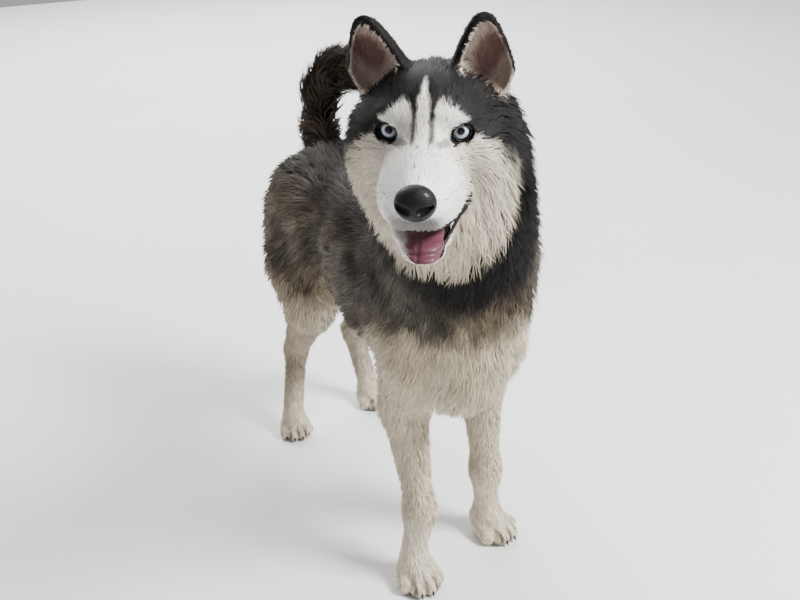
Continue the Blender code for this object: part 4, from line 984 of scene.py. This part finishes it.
def add_mesh(name, vertices, triangles, material, colours=None, normals=None, maps=None):
    """An object from arrays. maps holds a place for each vertex in each UV map."""
    mesh = bpy.data.meshes.new(name)
    mesh.vertices.add(len(vertices))
    mesh.vertices.foreach_set("co", (vertices + SHIFT).astype(np.float32).ravel())
    mesh.loops.add(triangles.size)
    mesh.loops.foreach_set("vertex_index", triangles.astype(np.int32).ravel())
    mesh.polygons.add(len(triangles))
    mesh.polygons.foreach_set("loop_start", np.arange(0, triangles.size, triangles.shape[1], dtype=np.int32))
    mesh.polygons.foreach_set("use_smooth", np.ones(len(triangles), bool))
    mesh.update(calc_edges=True)
    if colours is not None:
        layer = mesh.color_attributes.new("Coat", "FLOAT_COLOR", "POINT")
        layer.data.foreach_set("color", np.column_stack([colours, np.ones(len(colours))]).astype(np.float32).ravel())
    for map_name, places in (maps or {}).items():
        layer = mesh.uv_layers.new(name=map_name)
        layer.data.foreach_set("uv", places[triangles.ravel()].astype(np.float32).ravel())
    if normals is not None:
        mesh.normals_split_custom_set_from_vertices(normals.astype(np.float32).tolist())
    mesh.materials.append(material)
    made = bpy.data.objects.new(name, mesh)
    bpy.context.scene.collection.objects.link(made)
    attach(made, "root")
    return made


def arrays_of(mesh):
    """Vertices and faces of a mesh of quads, which is then removed."""
    vertices = np.empty(len(mesh.vertices) * 3)
    mesh.vertices.foreach_get("co", vertices)
    faces = np.empty(len(mesh.loops), np.int64)
    mesh.loops.foreach_get("vertex_index", faces)
    bpy.data.meshes.remove(mesh)
    return vertices.reshape(-1, 3), faces.reshape(-1, 4)


def make_skin(masses):
    """The skin: a fine mesh of the head over a coarser one of the whole body, which is sunk a little more there."""
    middle = in_head(0, 0.02, -0.03)

    def body_depth(points):
        near_head = np.clip((0.135 - np.abs(points - middle).max(axis=1)) / 0.01, 0, 1)
        return skin_depth(points) + 0.0025 * near_head

    head_mesh = mesh_of_field("head_skin", masses, middle - 0.13, middle + 0.13, HEAD_STEP, skin_depth)
    body_mesh = mesh_of_field("body_skin", masses, (-0.26, -0.50, -0.008), (0.22, 0.46, 0.86), BODY_STEP, body_depth)
    head_vertices, head_faces = arrays_of(head_mesh)
    body_vertices, body_faces = arrays_of(body_mesh)
    body_vertices[:, 2] = np.maximum(body_vertices[:, 2], 0.0006)
    vertices = np.concatenate([head_vertices, body_vertices])
    faces = np.concatenate([head_faces, body_faces + len(head_vertices)])
    colours, _ = markings(vertices)
    # Painted shade deep in the coat: the skin is darker than the coat over it, most under dark coat
    colours = colours * (0.68 + 0.26 * np.clip(colours.mean(axis=1) / 0.45, 0, 1))[:, None]
    inside = mouth().distance(vertices) < 0.0012
    # On the dog's right side the inside of the mouth is painted as pale fur in shade
    painted_shaded_fur = inside & (to_head(vertices)[:, 0] < -0.012)
    colours[inside] = (np.array([62, 30, 32]) / 255) ** 2.2
    colours[painted_shaded_fur] = (np.array([150, 138, 124]) / 255) ** 2.2
    sole = vertices[:, 2] < 0.004
    colours[sole] = (np.array([48, 42, 40]) / 255) ** 2.2
    skin = add_mesh("skin", vertices, faces, surface_material("skin", "Coat", 0.7, 0.0016, 0.0004), colours)
    flesh = [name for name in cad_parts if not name.startswith(("eye", "nose", "tongue"))]
    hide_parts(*flesh)
    return vertices, faces, len(head_vertices)


def scatter(vertices, faces, head_count, chance):
    """Roots over the skin, as many to each place as its cover asks, and their outward directions."""
    corners = vertices[faces]
    middles = corners.mean(axis=1)
    crossing = np.cross(corners[:, 2] - corners[:, 0], corners[:, 3] - corners[:, 1]) / 2
    areas = np.linalg.norm(crossing, axis=1)
    outward = crossing / np.maximum(areas, 1e-12)[:, None]
    values, _ = hair_at(middles)
    x, y, z = to_head(middles).T
    low, high = vertices[:head_count].min(axis=0) + 0.004, vertices[:head_count].max(axis=0) - 0.004
    in_box = ((middles > low) & (middles < high)).all(axis=1)
    of_head = faces[:, 0] < head_count
    wanted = np.where(of_head, in_box, ~in_box)
    wanted &= (mouth().distance(middles) > np.where(x < -0.010, 0.0004, 0.0030)) & (below_tongue(middles) < 0.0004)
    wanted &= nose_clear(middles)
    wanted &= (middles[:, 2] > 0.006) | (outward[:, 2] > 0.2)
    for _, side in SIDES:
        wanted &= almond_distance(middles, side) > 0.0012
        wanted &= np.linalg.norm(middles - in_head(side * EYE_AT[0], *EYE_AT[1:]), axis=1) > EYE_RADIUS + 0.0008
    expected = areas * values[:, 3] / (values[:, 0] * values[:, 2] * 0.55) * wanted
    count = chance.poisson(expected)
    chosen = np.repeat(np.arange(len(faces)), count)
    chosen = chosen[chance.permutation(len(chosen))]
    u, v = chance.random((2, len(chosen), 1))
    a, b, c, d = (corners[chosen, i] for i in range(4))
    roots = (a * (1 - u) + b * u) * (1 - v) + (d * (1 - u) + c * u) * v
    return roots, outward[chosen]


def nose_clear(points):
    """Whether each point is off the nose leather."""
    scaled = (to_head(points) - vec(*NOSE_AT)) / (vec(*NOSE_RADII) + 0.0012)
    return np.linalg.norm(scaled, axis=1) > 1


def nearest_of(points, leaders):
    """For each point, the number of the nearest leader."""
    tree = KDTree(len(leaders))
    for number, leader in enumerate(leaders):
        tree.insert(leader, number)
    tree.balance()
    return np.array([tree.find(point)[1] for point in points])


def turned(directions, axes, angles):
    """Each direction turned about its axis, which it is square to."""
    return directions * np.cos(angles)[:, None] + np.cross(axes, directions) * np.sin(angles)[:, None]


PIECES = (
    "face",
    "head_left",
    "head_right",
    "ruff_left",
    "ruff_right",
    "torso_left",
    "torso_right",
    "fore_leg_left",
    "hind_leg_left",
    "tail",
    "chest",
    "ears",
    "fore_leg_right",
    "hind_leg_right",
)


def piece_of(roots, on_tail):
    """The number of the coat piece that each root belongs to."""
    x, y, z = to_head(roots).T
    dx, dy, dz = roots.T
    found = np.where(dx > 0, 5, 6)
    left = dx > np.where(dy < 0.0, 0.015, 0.0)
    found = np.where((dz < 0.33) & (dy < 0.0), np.where(left, 7, 12), found)
    found = np.where((dz < 0.36) & (dy > 0.15), np.where(left, 8, 13), found)
    found = np.where((dy < -0.16) & (dz > 0.33), 10, found)
    found = np.where((dy < -0.10) & (dz > 0.50), np.where(x > 0, 3, 4), found)
    headlike = (np.abs(x) < 0.12) & (y < 0.09) & (z > -0.13) & (dz > 0.55)
    found = np.where(headlike, np.where(x > 0, 1, 2), found)
    found = np.where(headlike & (y < 0.0), 0, found)
    for on_ear, _ in ear_shares(roots):
        found = np.where(on_ear > 0.5, 11, found)
    return np.where(on_tail > 0.5, 9, found)


def unwrapped(roots, number):
    """Places on a cylinder unwrap round the piece's own length, kept between 0 and 1."""
    name = PIECES[number]
    if name.startswith(("face", "head", "ears")):
        x, y, z = to_head(roots).T
        angle, along = np.arctan2(x, z + 0.03), (y + 0.14) / 0.30
    elif name.startswith(("torso", "chest")):
        angle, along = np.arctan2(roots[:, 0], roots[:, 2] - 0.43), (roots[:, 1] + 0.40) / 0.85
    elif name.startswith("ruff"):
        angle, along = np.arctan2(roots[:, 0] + 0.01, -0.22 - roots[:, 1]), (roots[:, 2] - 0.40) / 0.45
    elif name == "tail":
        angle, along = np.arctan2(roots[:, 2] - 0.60, roots[:, 1] - 0.26), (roots[:, 0] + 0.06) / 0.22
    else:
        middle = 0.078 if name.endswith("left") else -0.060
        back = roots[:, 1] - np.where(roots[:, 1] > 0.1, 0.32, -0.13)
        angle, along = np.arctan2(roots[:, 0] - middle, back), roots[:, 2] / 0.42
    return np.clip(np.stack([angle / (2 * pi) + 0.5, along], axis=1), 0.002, 0.998)


def grow_coat(masses, roots, outward, chance):
    """Tapered closed tufts along the coat's lie, gathered into clumps."""
    values, on_tail = hair_at(roots)
    length, depth, width, _ = values.T
    count = len(roots)
    leaders = roots[: count // CLUMP_SIZE]
    clump = nearest_of(roots, leaders)
    draws = chance.normal(size=(4, len(leaders)))
    long_share = np.clip((length - 0.010) / 0.030, 0, 1)
    loose = 0.55 + 0.45 * long_share
    stray = loose * (radians(13) * draws[0][clump] + radians(9) * chance.normal(size=count))
    stretch = np.clip(1 + 0.14 * draws[1][clump] + 0.10 * chance.normal(size=count), 0.6, 1.5)
    rise = (0.0004 + 0.0030 * long_share) * (0.5 + 0.7 * draws[2][clump] + 0.5 * chance.normal(size=count))
    rise = np.clip(rise, -0.002, 0.009)
    for on_ear, _ in ear_shares(roots):
        rise += 0.0016 * on_ear * chance.random(count)
    tone = draws[3][clump]
    shares = (0.0, 0.34, 0.68, 1.0)
    at, normals = roots, outward
    path, axes = [at], [normals]
    for before, share in zip(shares, shares[1:]):
        along = turned(lie(at, normals), normals, stray)
        at = at + along * ((share - before) * length * stretch)[:, None]
        normals = slope(at, masses)
        level = -depth * (1 - share) ** 0.8 + rise * share**2
        at = at + normals * np.clip(level - field(at, masses), -0.02, 0.02)[:, None]
        path.append(at)
        axes.append(normals)
    leader_tips = path[-1][: len(leaders)]
    pull = (0.10 + 0.30 * long_share)[:, None]
    for number, share in enumerate(shares):
        path[number][:, 2] = np.maximum(path[number][:, 2], 0.0016)
        path[number] = path[number] + pull * share**1.5 * 0.8 * (leader_tips[clump] - path[-1]) * (share < 1)
    path[-1] = path[-1] + pull * 0.8 * (leader_tips[clump] - path[-1])
    clear = np.ones(count, bool)
    for reached in path[1:]:
        off_lips = np.where(to_head(reached)[:, 0] < -0.010, -0.0020, 0.0022)
        clear &= (mouth().distance(reached) > off_lips) & (below_tongue(reached) < 0.0014)
        for _, side in SIDES:
            clear &= almond_distance(reached, side) > 0.0002
    twist = radians(22) * loose * chance.normal(size=count)
    middle_colours, banded = markings(path[2])
    own = chance.normal(size=count)
    bright = np.clip(1 + (0.05 + 0.13 * banded) * tone + (0.05 + 0.16 * banded) * own, 0.35, 1.9)[:, None]
    base = middle_colours * bright
    tips = base * (1 - 0.45 * banded)[:, None]
    bands = base * (1 + 0.55 * banded)[:, None]
    # Darker roots: a grey undercoat, and painted shade deep in the coat, less of it on pale coat
    paleness = np.clip(middle_colours.mean(axis=1) / 0.45, 0, 1)[:, None]
    under = base * (0.60 + 0.26 * paleness)
    layers = [under, bands, base, tips]
    piece = np.where(clear, piece_of(roots, on_tail), -1)
    half = width * 0.5 * np.clip(1 + 0.2 * chance.normal(size=count), 0.5, 1.6)
    return dict(path=path, axes=axes, half=half, twist=twist, layers=layers, piece=piece, length=length)


RINGS = {True: ((0, 0.70), (1, 1.0), (2, 0.72)), False: ((0, 0.80), (1, 1.0))}


def build_tufts(coat, chosen, rings):
    """Vertices, triangles, colours, normals and strand places of the chosen tufts."""
    path, axes, layers = coat["path"], coat["axes"], coat["layers"]
    vertices, colours, normals, strands = [], [], [], []
    offset = np.random.default_rng(5).random(len(chosen)) * 50
    for number, share in rings:
        at, following = path[number][chosen], path[number + 1][chosen]
        along = following - at
        along /= np.maximum(np.linalg.norm(along, axis=1), 1e-9)[:, None]
        axis = axes[number][chosen]
        across = np.cross(axis, along)
        across /= np.maximum(np.linalg.norm(across, axis=1), 1e-9)[:, None]
        across = turned(across, along, coat["twist"][chosen])
        up = np.cross(along, across)
        half = coat["half"][chosen][:, None] * share
        for shift, lift, lean in ((-1, -0.12, -0.35), (0, 0.30, 0.0), (1, -0.12, 0.35)):
            placed = at + half * (shift * across + lift * up)
            placed[:, 2] = np.maximum(placed[:, 2], 0.0004)
            vertices.append(placed)
            colours.append(layers[number][chosen])
            normal = axis + lean * across
            normals.append(normal / np.maximum(np.linalg.norm(normal, axis=1), 1e-9)[:, None])
            strands.append(np.stack([offset + shift * 0.5, offset * 0.3 + number * 0.25], axis=1))
    tip = path[3][chosen]
    vertices.append(tip)
    colours.append(layers[3][chosen])
    normals.append(axes[3][chosen])
    strands.append(np.stack([offset, offset * 0.3 + 0.75], axis=1))
    size = len(vertices)
    faces = [(0, 1, 2)]
    last = size - 1
    for ring in range(0, last, 3):
        for a, b in ((1, 0), (2, 1), (0, 2)):
            if ring + 3 == last:
                faces.append((ring + a, ring + b, last))
            else:
                faces.append((ring + a, ring + b, ring + 3 + b))
                faces.append((ring + a, ring + 3 + b, ring + 3 + a))
    faces = np.array(faces) + size * np.arange(len(chosen))[:, None, None]

    def flat(columns):
        return np.stack(columns, axis=1).reshape(-1, columns[0].shape[1])

    return flat(vertices), faces.reshape(-1, 3), flat(colours), flat(normals), flat(strands)


def make_coat(masses, roots, outward, chance):
    coat = grow_coat(masses, roots, outward, chance)
    material = surface_material("coat", "Coat", 0.62, 0.002, 0.0, 0.22, 3.0)
    for number, name in enumerate(PIECES):
        here = coat["piece"] == number
        built = []
        for is_long, rings in RINGS.items():
            chosen = np.flatnonzero(here & ((coat["length"] > 0.015) == is_long))
            if not len(chosen):
                continue
            vertices, faces, colours, normals, strands = build_tufts(coat, chosen, rings)
            each = len(vertices) // len(chosen)
            at_root = np.repeat(unwrapped(coat["path"][0][chosen], number), each, axis=0)
            local = np.stack([np.tile(np.linspace(-1, 1, each), len(chosen)), np.tile(np.linspace(-1, 1, each), len(chosen))], 1)
            spread = strands - np.repeat(strands[each - 1 :: each], each, axis=0)
            local[:, 0], local[:, 1] = spread[:, 0] * 0.003, (spread[:, 1] + 0.375) * 0.004
            built.append((vertices, faces, colours, normals, strands, at_root + local))
        if not built:
            continue
        shift = np.cumsum([0] + [len(part[0]) for part in built[:-1]])
        faces = np.concatenate([part[1] + more for part, more in zip(built, shift)])
        vertices, colours, normals, strands, places = (np.concatenate([part[i] for part in built]) for i in (0, 2, 3, 4, 5))
        maps = {"OFBake": places, "Strand": strands}
        made = add_mesh(f"coat_{name}", vertices, faces, material, colours, normals, maps)


def plain_material(name, colour, roughness, grain_size, bump_height, coat=0.0, shade=0.25):
    """A finish of one colour varied by noise, bumped by the same noise."""
    made = bpy.data.materials.new(name)
    made.use_nodes = True
    nodes, link = made.node_tree.nodes, made.node_tree.links.new
    finish = nodes["Principled BSDF"]
    place = nodes.new("ShaderNodeTexCoord")
    grain = nodes.new("ShaderNodeTexNoise")
    grain.inputs["Scale"].default_value = 1 / grain_size
    grain.inputs["Detail"].default_value = 4
    link(place.outputs["Object"], grain.inputs["Vector"])
    ramp = nodes.new("ShaderNodeValToRGB")
    linear = (np.array(colour) / 255) ** 2.2
    ramp.color_ramp.elements[0].position = 0.3
    ramp.color_ramp.elements[1].position = 0.7
    ramp.color_ramp.elements[0].color = (*(linear * (1 - shade)), 1)
    ramp.color_ramp.elements[1].color = (*np.clip(linear * (1 + shade), 0, 1), 1)
    link(grain.outputs["Fac"], ramp.inputs["Fac"])
    link(ramp.outputs["Color"], finish.inputs["Base Color"])
    finish.inputs["Roughness"].default_value = roughness
    finish.inputs["Specular IOR Level"].default_value = 0.22
    finish.inputs["Coat Weight"].default_value = coat
    finish.inputs["Coat Roughness"].default_value = 0.08
    bump = nodes.new("ShaderNodeBump")
    bump.inputs["Distance"].default_value = bump_height
    link(grain.outputs["Fac"], bump.inputs["Height"])
    link(bump.outputs["Normal"], finish.inputs["Normal"])
    return made


def eye_material():
    """Pupil, pale blue iris, dark ring and white, by distance from the middle of the gaze."""
    made = bpy.data.materials.new("eye")
    made.use_nodes = True
    nodes, link = made.node_tree.nodes, made.node_tree.links.new
    finish = nodes["Principled BSDF"]
    gaze = nodes.new("ShaderNodeUVMap")
    gaze.uv_map = "Gaze"
    middle = nodes.new("ShaderNodeVectorMath")
    middle.operation = "SUBTRACT"
    middle.inputs[1].default_value = (0.5, 0.5, 0)
    link(gaze.outputs["UV"], middle.inputs[0])
    out = nodes.new("ShaderNodeVectorMath")
    out.operation = "LENGTH"
    link(middle.outputs["Vector"], out.inputs[0])
    fibres = nodes.new("ShaderNodeTexNoise")
    fibres.inputs["Scale"].default_value = 26
    fibres.inputs["Detail"].default_value = 4
    link(middle.outputs["Vector"], fibres.inputs["Vector"])
    ramp = nodes.new("ShaderNodeValToRGB")
    stops = (
        (0.00, (4, 4, 5)),
        (0.135, (5, 5, 7)),
        (0.158, (92, 100, 114)),
        (0.200, (206, 212, 222)),
        (0.270, (182, 192, 208)),
        (0.320, (116, 128, 148)),
        (0.348, (26, 28, 38)),
        (0.390, (14, 12, 13)),
        (0.430, (60, 48, 44)),
    )
    ramp.color_ramp.elements.remove(ramp.color_ramp.elements[1])
    for position, colour in stops:
        stop = ramp.color_ramp.elements[0] if position == 0 else ramp.color_ramp.elements.new(position)
        stop.position = position
        stop.color = (*((np.array(colour) / 255) ** 2.2), 1)
    link(out.outputs["Value"], ramp.inputs["Fac"])
    streaks = nodes.new("ShaderNodeMapRange")
    streaks.inputs["From Min"].default_value = 0.3
    streaks.inputs["From Max"].default_value = 0.7
    streaks.inputs["To Min"].default_value = 0.78
    streaks.inputs["To Max"].default_value = 1.18
    link(fibres.outputs["Fac"], streaks.inputs["Value"])
    tone = nodes.new("ShaderNodeVectorMath")
    tone.operation = "SCALE"
    link(ramp.outputs["Color"], tone.inputs[0])
    link(streaks.outputs["Result"], tone.inputs["Scale"])
    link(tone.outputs["Vector"], finish.inputs["Base Color"])
    finish.inputs["Roughness"].default_value = 0.35
    finish.inputs["Specular IOR Level"].default_value = 0.15
    finish.inputs["Coat Weight"].default_value = 0.35
    finish.inputs["Coat Roughness"].default_value = 0.02
    return made


def make_eyes():
    material = eye_material()
    for name, side in SIDES:
        centre = in_head(side * EYE_AT[0], *EYE_AT[1:])
        to_camera = vec(*CAMERA_AT) - centre
        ahead = HEAD_TURN @ turn_z(side * 14) @ vec(0, -1, 0)
        gaze = GAZE_SHARE * to_camera / np.linalg.norm(to_camera) + (1 - GAZE_SHARE) * ahead
        gaze /= np.linalg.norm(gaze)
        right = np.cross(gaze, vec(0, 0, 1))
        right /= np.linalg.norm(right)
        up = np.cross(right, gaze)
        grid = bmesh.new()
        bmesh.ops.create_icosphere(grid, subdivisions=5, radius=1.0)
        mesh = bpy.data.meshes.new("grid")
        grid.to_mesh(mesh)
        grid.free()
        unit = np.array([v.co[:] for v in mesh.vertices])
        faces = np.array([p.vertices[:] for p in mesh.polygons])
        bpy.data.meshes.remove(mesh)
        swell = 1 + 0.05 * np.clip((unit @ gaze - 0.80) / 0.2, 0, 1) ** 1.5
        vertices = centre + EYE_RADIUS * unit * swell[:, None]
        places = np.stack([unit @ right, unit @ up], axis=1) * 0.5 + 0.5
        places[unit @ gaze < 0] = (0.98, 0.5)
        made = add_mesh(f"eyeball_{name}", vertices, faces, material, maps={"Gaze": places})
        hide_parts(f"eye_{name}")


def swept(line, radii, around=8, closed=False):
    """Vertices and quads of a tube along a line."""
    line, radii = np.array(line, float), np.array(radii, float)
    ahead = np.roll(line, -1, axis=0) - np.roll(line, 1, axis=0)
    if not closed:
        ahead[0], ahead[-1] = line[1] - line[0], line[-1] - line[-2]
    ahead /= np.linalg.norm(ahead, axis=1)[:, None]
    side = np.cross(ahead, vec(0.31, 0.22, 0.92))
    side /= np.linalg.norm(side, axis=1)[:, None]
    up = np.cross(side, ahead)
    angles = np.arange(around) * 2 * pi / around
    rings = line[:, None] + radii[:, None, None] * (
        np.cos(angles)[None, :, None] * side[:, None] + np.sin(angles)[None, :, None] * up[:, None]
    )
    count = len(line)
    faces = []
    for i in range(count if closed else count - 1):
        for j in range(around):
            a, b = i * around, (i + 1) % count * around
            faces.append((a + j, a + (j + 1) % around, b + (j + 1) % around, b + j))
    return rings.reshape(-1, 3), np.array(faces)


def make_lids():
    """Dark rims round the openings of the lids."""
    material = plain_material("lid", (26, 22, 21), 0.42, 0.0012, 0.0002)
    half_width, half_height = ALMOND
    for name, side in SIDES:
        centre = in_head(side * EYE_AT[0], *EYE_AT[1:])
        axes = HEAD_TURN @ turn_z(side * 14) @ turn_y(side * -7)
        line, radii = [], []
        for t in np.linspace(0, 2 * pi, 56, endpoint=False):
            x = (half_width - 0.0002) * cos(t)
            z = half_height * 0.96 * (1 - (x / half_width) ** 2) * np.sign(sin(t))
            radius = EYE_RADIUS + 0.0009
            y = -np.sqrt(max(radius**2 - x * x - z * z, 1e-8))
            line.append(centre + axes @ vec(x, y, z))
            radii.append(0.0016 if sin(t) > 0 else 0.0012)
        vertices, faces = swept(line, radii, closed=True)
        made = add_mesh(f"lid_rim_{name}", vertices, faces, material)


def lip_line(height, masses, inset, last=128):
    """Points along a lip, round the muzzle from one corner of the mouth to the other, at a height for each depth."""
    line = []
    reach = np.linspace(0.004, 0.080, 153)
    for angle in np.radians(np.linspace(-last, last, 71)):
        x, y = LIP_MIDDLE[0] + reach * np.sin(angle), LIP_MIDDLE[1] - reach * np.cos(angle)
        z = height(np.clip((MOUTH_CORNER - y) / MOUTH_LENGTH, 0, 1.1))
        points = vec(*HEAD_AT) + np.stack([x, y, z], axis=1) @ HEAD_TURN.T
        within = np.flatnonzero((field(points, masses) < -inset) & (y < MOUTH_CORNER))
        line.append(points[within[-1]] if len(within) else points[0])
    return np.array(line)


def make_lips():
    """Dark lips: the upper one along the muzzle's edge, the lower one round the jaw."""
    material = plain_material("lip", (24, 20, 21), 0.40, 0.0016, 0.0003)
    upper = lip_line(lambda share: MOUTH_HEIGHT + 0.0004 + 0 * share, skull(), 0.0002, 139)
    lower = lip_line(lambda share: MOUTH_HEIGHT - 0.0046 - 0.0226 * share**1.5, skull() + jaw(), 0.0, 139)
    for name, line, thick in (("upper", upper, 0.0014), ("lower", lower, 0.0017)):
        across = np.linspace(-1, 1, len(line))
        beads = 1 + 0.20 * np.sin(across * 70) * (np.abs(across) > 0.4)
        middle = np.where(np.abs(across) < 0.25, 0.7, 1.0)
        shown = across > -0.12
        vertices, faces = swept(line[shown], (thick * beads * middle)[shown])
        add_mesh(f"lip_{name}", vertices, faces, material)


def make_whiskers(masses):
    """Fine tapered whiskers from the pads of the muzzle, swept back and down."""
    chance = np.random.default_rng(17)
    all_vertices, all_faces = [], []
    for _, side in SIDES:
        for row, height in enumerate(PAD_HEIGHTS):
            for column in range(1, 4):
                at = in_head(side * 0.034, -0.092 + 0.010 * column + 0.003 * row, height)
                at = onto_level(at[None], -0.0012, masses, 4)[0]
                length = chance.uniform(0.026, 0.040)
                heading = HEAD_TURN @ vec(side * 0.42, 0.75 + 0.10 * column, 0.10 - 0.18 * row + chance.normal() * 0.08)
                share = np.linspace(0, 1, 8)
                droop = np.outer(share**2, vec(0, 0.004, -0.008))
                line = at + np.outer(share * length, heading / np.linalg.norm(heading)) + droop
                vertices, faces = swept(line, 0.00022 * (1 - share) + 0.00004, 4)
                all_faces.append(faces + sum(len(v) for v in all_vertices))
                all_vertices.append(vertices)
    material = plain_material("whisker", (222, 216, 206), 0.45, 0.004, 0.0)
    made = add_mesh("whiskers", np.concatenate(all_vertices), np.concatenate(all_faces), material)


def make_claws():
    """A curved claw at the tip of each toe."""
    all_vertices, all_faces = [], []
    for at, heading, size in FEET:
        turn = turn_z(heading)
        for across, ahead, radius in ((0.0225, -0.014, 0.0135), (0.0082, -0.028, 0.0142)):
            for side in (LEFT, RIGHT):
                share = np.linspace(0, 1, 7)
                y = ahead - radius * 0.78 - 0.0036 * share
                z = 0.0105 - 0.0015 * share - 0.0060 * share**2
                local = np.stack([np.full(7, side * across) * (1 + 0.03 * share), y, z], axis=1) * size
                line = vec(at[0], at[1], 0) + local @ turn.T
                vertices, faces = swept(line, (0.0023 * (1 - share**1.8) + 0.0003) * size, 8)
                all_faces.append(faces + sum(len(v) for v in all_vertices))
                all_vertices.append(vertices)
    material = plain_material("claw", (58, 50, 44), 0.35, 0.002, 0.0001, 0.2)
    made = add_mesh("claws", np.concatenate(all_vertices), np.concatenate(all_faces), material)


def make_nose():
    at = in_head(*NOSE_AT)
    vertices, faces = arrays_of(mesh_of_field("nose", nose(), at - 0.035, at + 0.035, 0.0007))
    material = plain_material("nose_leather", (6, 6, 7), 0.54, 0.0011, 0.0006, 0.10)
    made = add_mesh("nose_pad", vertices, faces, material)
    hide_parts("nose")


def make_tongue():
    middle = in_head(0, -0.06, -0.09)
    vertices, faces = arrays_of(mesh_of_field("tongue", tongue_masses(), middle - 0.07, middle + 0.07, 0.0012))
    x, _, _ = to_head(vertices).T
    groove = np.exp(-(((x - 0.0015) / 0.0022) ** 2))
    vertices = vertices - 0.0014 * groove[:, None] * (HEAD_TURN @ vec(0, -0.5, 0.85))
    made = add_mesh("tongue_flesh", vertices, faces, plain_material("tongue", (92, 53, 62), 0.45, 0.0014, 0.0005, 0.15, 0.10))
    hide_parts("tongue")


def add_camera():
    eye = bpy.data.cameras.new("camera")
    eye.sensor_width, eye.lens = 36, 45
    made = bpy.data.objects.new("camera", eye)
    yaw, pitch, roll = CAMERA_TURN
    ahead = vec(sin(yaw) * cos(pitch), cos(yaw) * cos(pitch), -sin(pitch))
    right = vec(cos(yaw), -sin(yaw), 0)
    up = np.cross(right, ahead)
    rolled = right * cos(roll) + up * sin(roll)
    up = -right * sin(roll) + up * cos(roll)
    turn = Matrix(np.stack([rolled, up, -ahead], axis=1).tolist()).to_4x4()
    made.matrix_world = Matrix.Translation(Vector(vec(*CAMERA_AT) + SHIFT)) @ turn
    bpy.context.scene.collection.objects.link(made)
    bpy.context.scene.camera = made


def add_light(name, at, target, size, watts):
    lamp = bpy.data.lights.new(name, "AREA")
    lamp.size, lamp.energy = size, watts
    made = bpy.data.objects.new(name, lamp)
    made.matrix_world = Matrix.Translation(at) @ (Vector(at) - Vector(target)).to_track_quat("Z", "Y").to_matrix().to_4x4()
    bpy.context.scene.collection.objects.link(made)


def add_studio():
    world = bpy.data.worlds.new("studio")
    bpy.context.scene.world = world
    world.use_nodes = True
    world.node_tree.nodes["Background"].inputs["Color"].default_value = (1.0, 1.0, 1.0, 1)
    world.node_tree.nodes["Background"].inputs["Strength"].default_value = 0.44
    add_light("key", (1.5, -1.7, 2.5), (0, 0, 0.45), 1.0, 235)
    add_light("fill", (-2.2, -1.6, 1.6), (0, 0, 0.45), 1.8, 4)
    add_light("sweep", (0.8, 4.2, 3.2), (0.8, 3.4, 0), 4.0, 420)
    add_light("back", (-0.4, 2.2, 2.2), (0, 0, 0.45), 1.6, 30)
    bpy.ops.mesh.primitive_grid_add(x_subdivisions=8, y_subdivisions=8, size=14, location=(0, 0, 0))
    floor = bpy.context.object
    floor.name = "floor"
    floor.data.materials.append(plain_material("floor", (236, 236, 236), 0.8, 0.6, 0.0, 0.0, 0.02))


LIP_MIDDLE = (0.0, -0.062)
GAZE_SHARE = 0.55
CAMERA_AT = (-0.5061, -1.2232, 0.9754)
CAMERA_TURN = (0.3921, 0.4254, -0.0405)
SHIFT = to_scene()
HAIR_ROWS = rows_of(BODY_HAIR, HEAD_HAIR)
COLOUR_ROWS = (rows_of(DARK_COAT), rows_of(PALE_COAT), rows_of((), MASK_COAT))
add_camera()
add_studio()
dog = body()
skin_vertices, skin_faces, head_size = make_skin(dog)
draw = np.random.default_rng(TUFT_SEED)
tuft_roots, root_outward = scatter(skin_vertices, skin_faces, head_size, draw)
make_coat(dog, tuft_roots, root_outward, draw)
make_eyes()
make_lids()
make_lips()
make_whiskers(dog)
make_claws()
make_nose()
make_tongue()
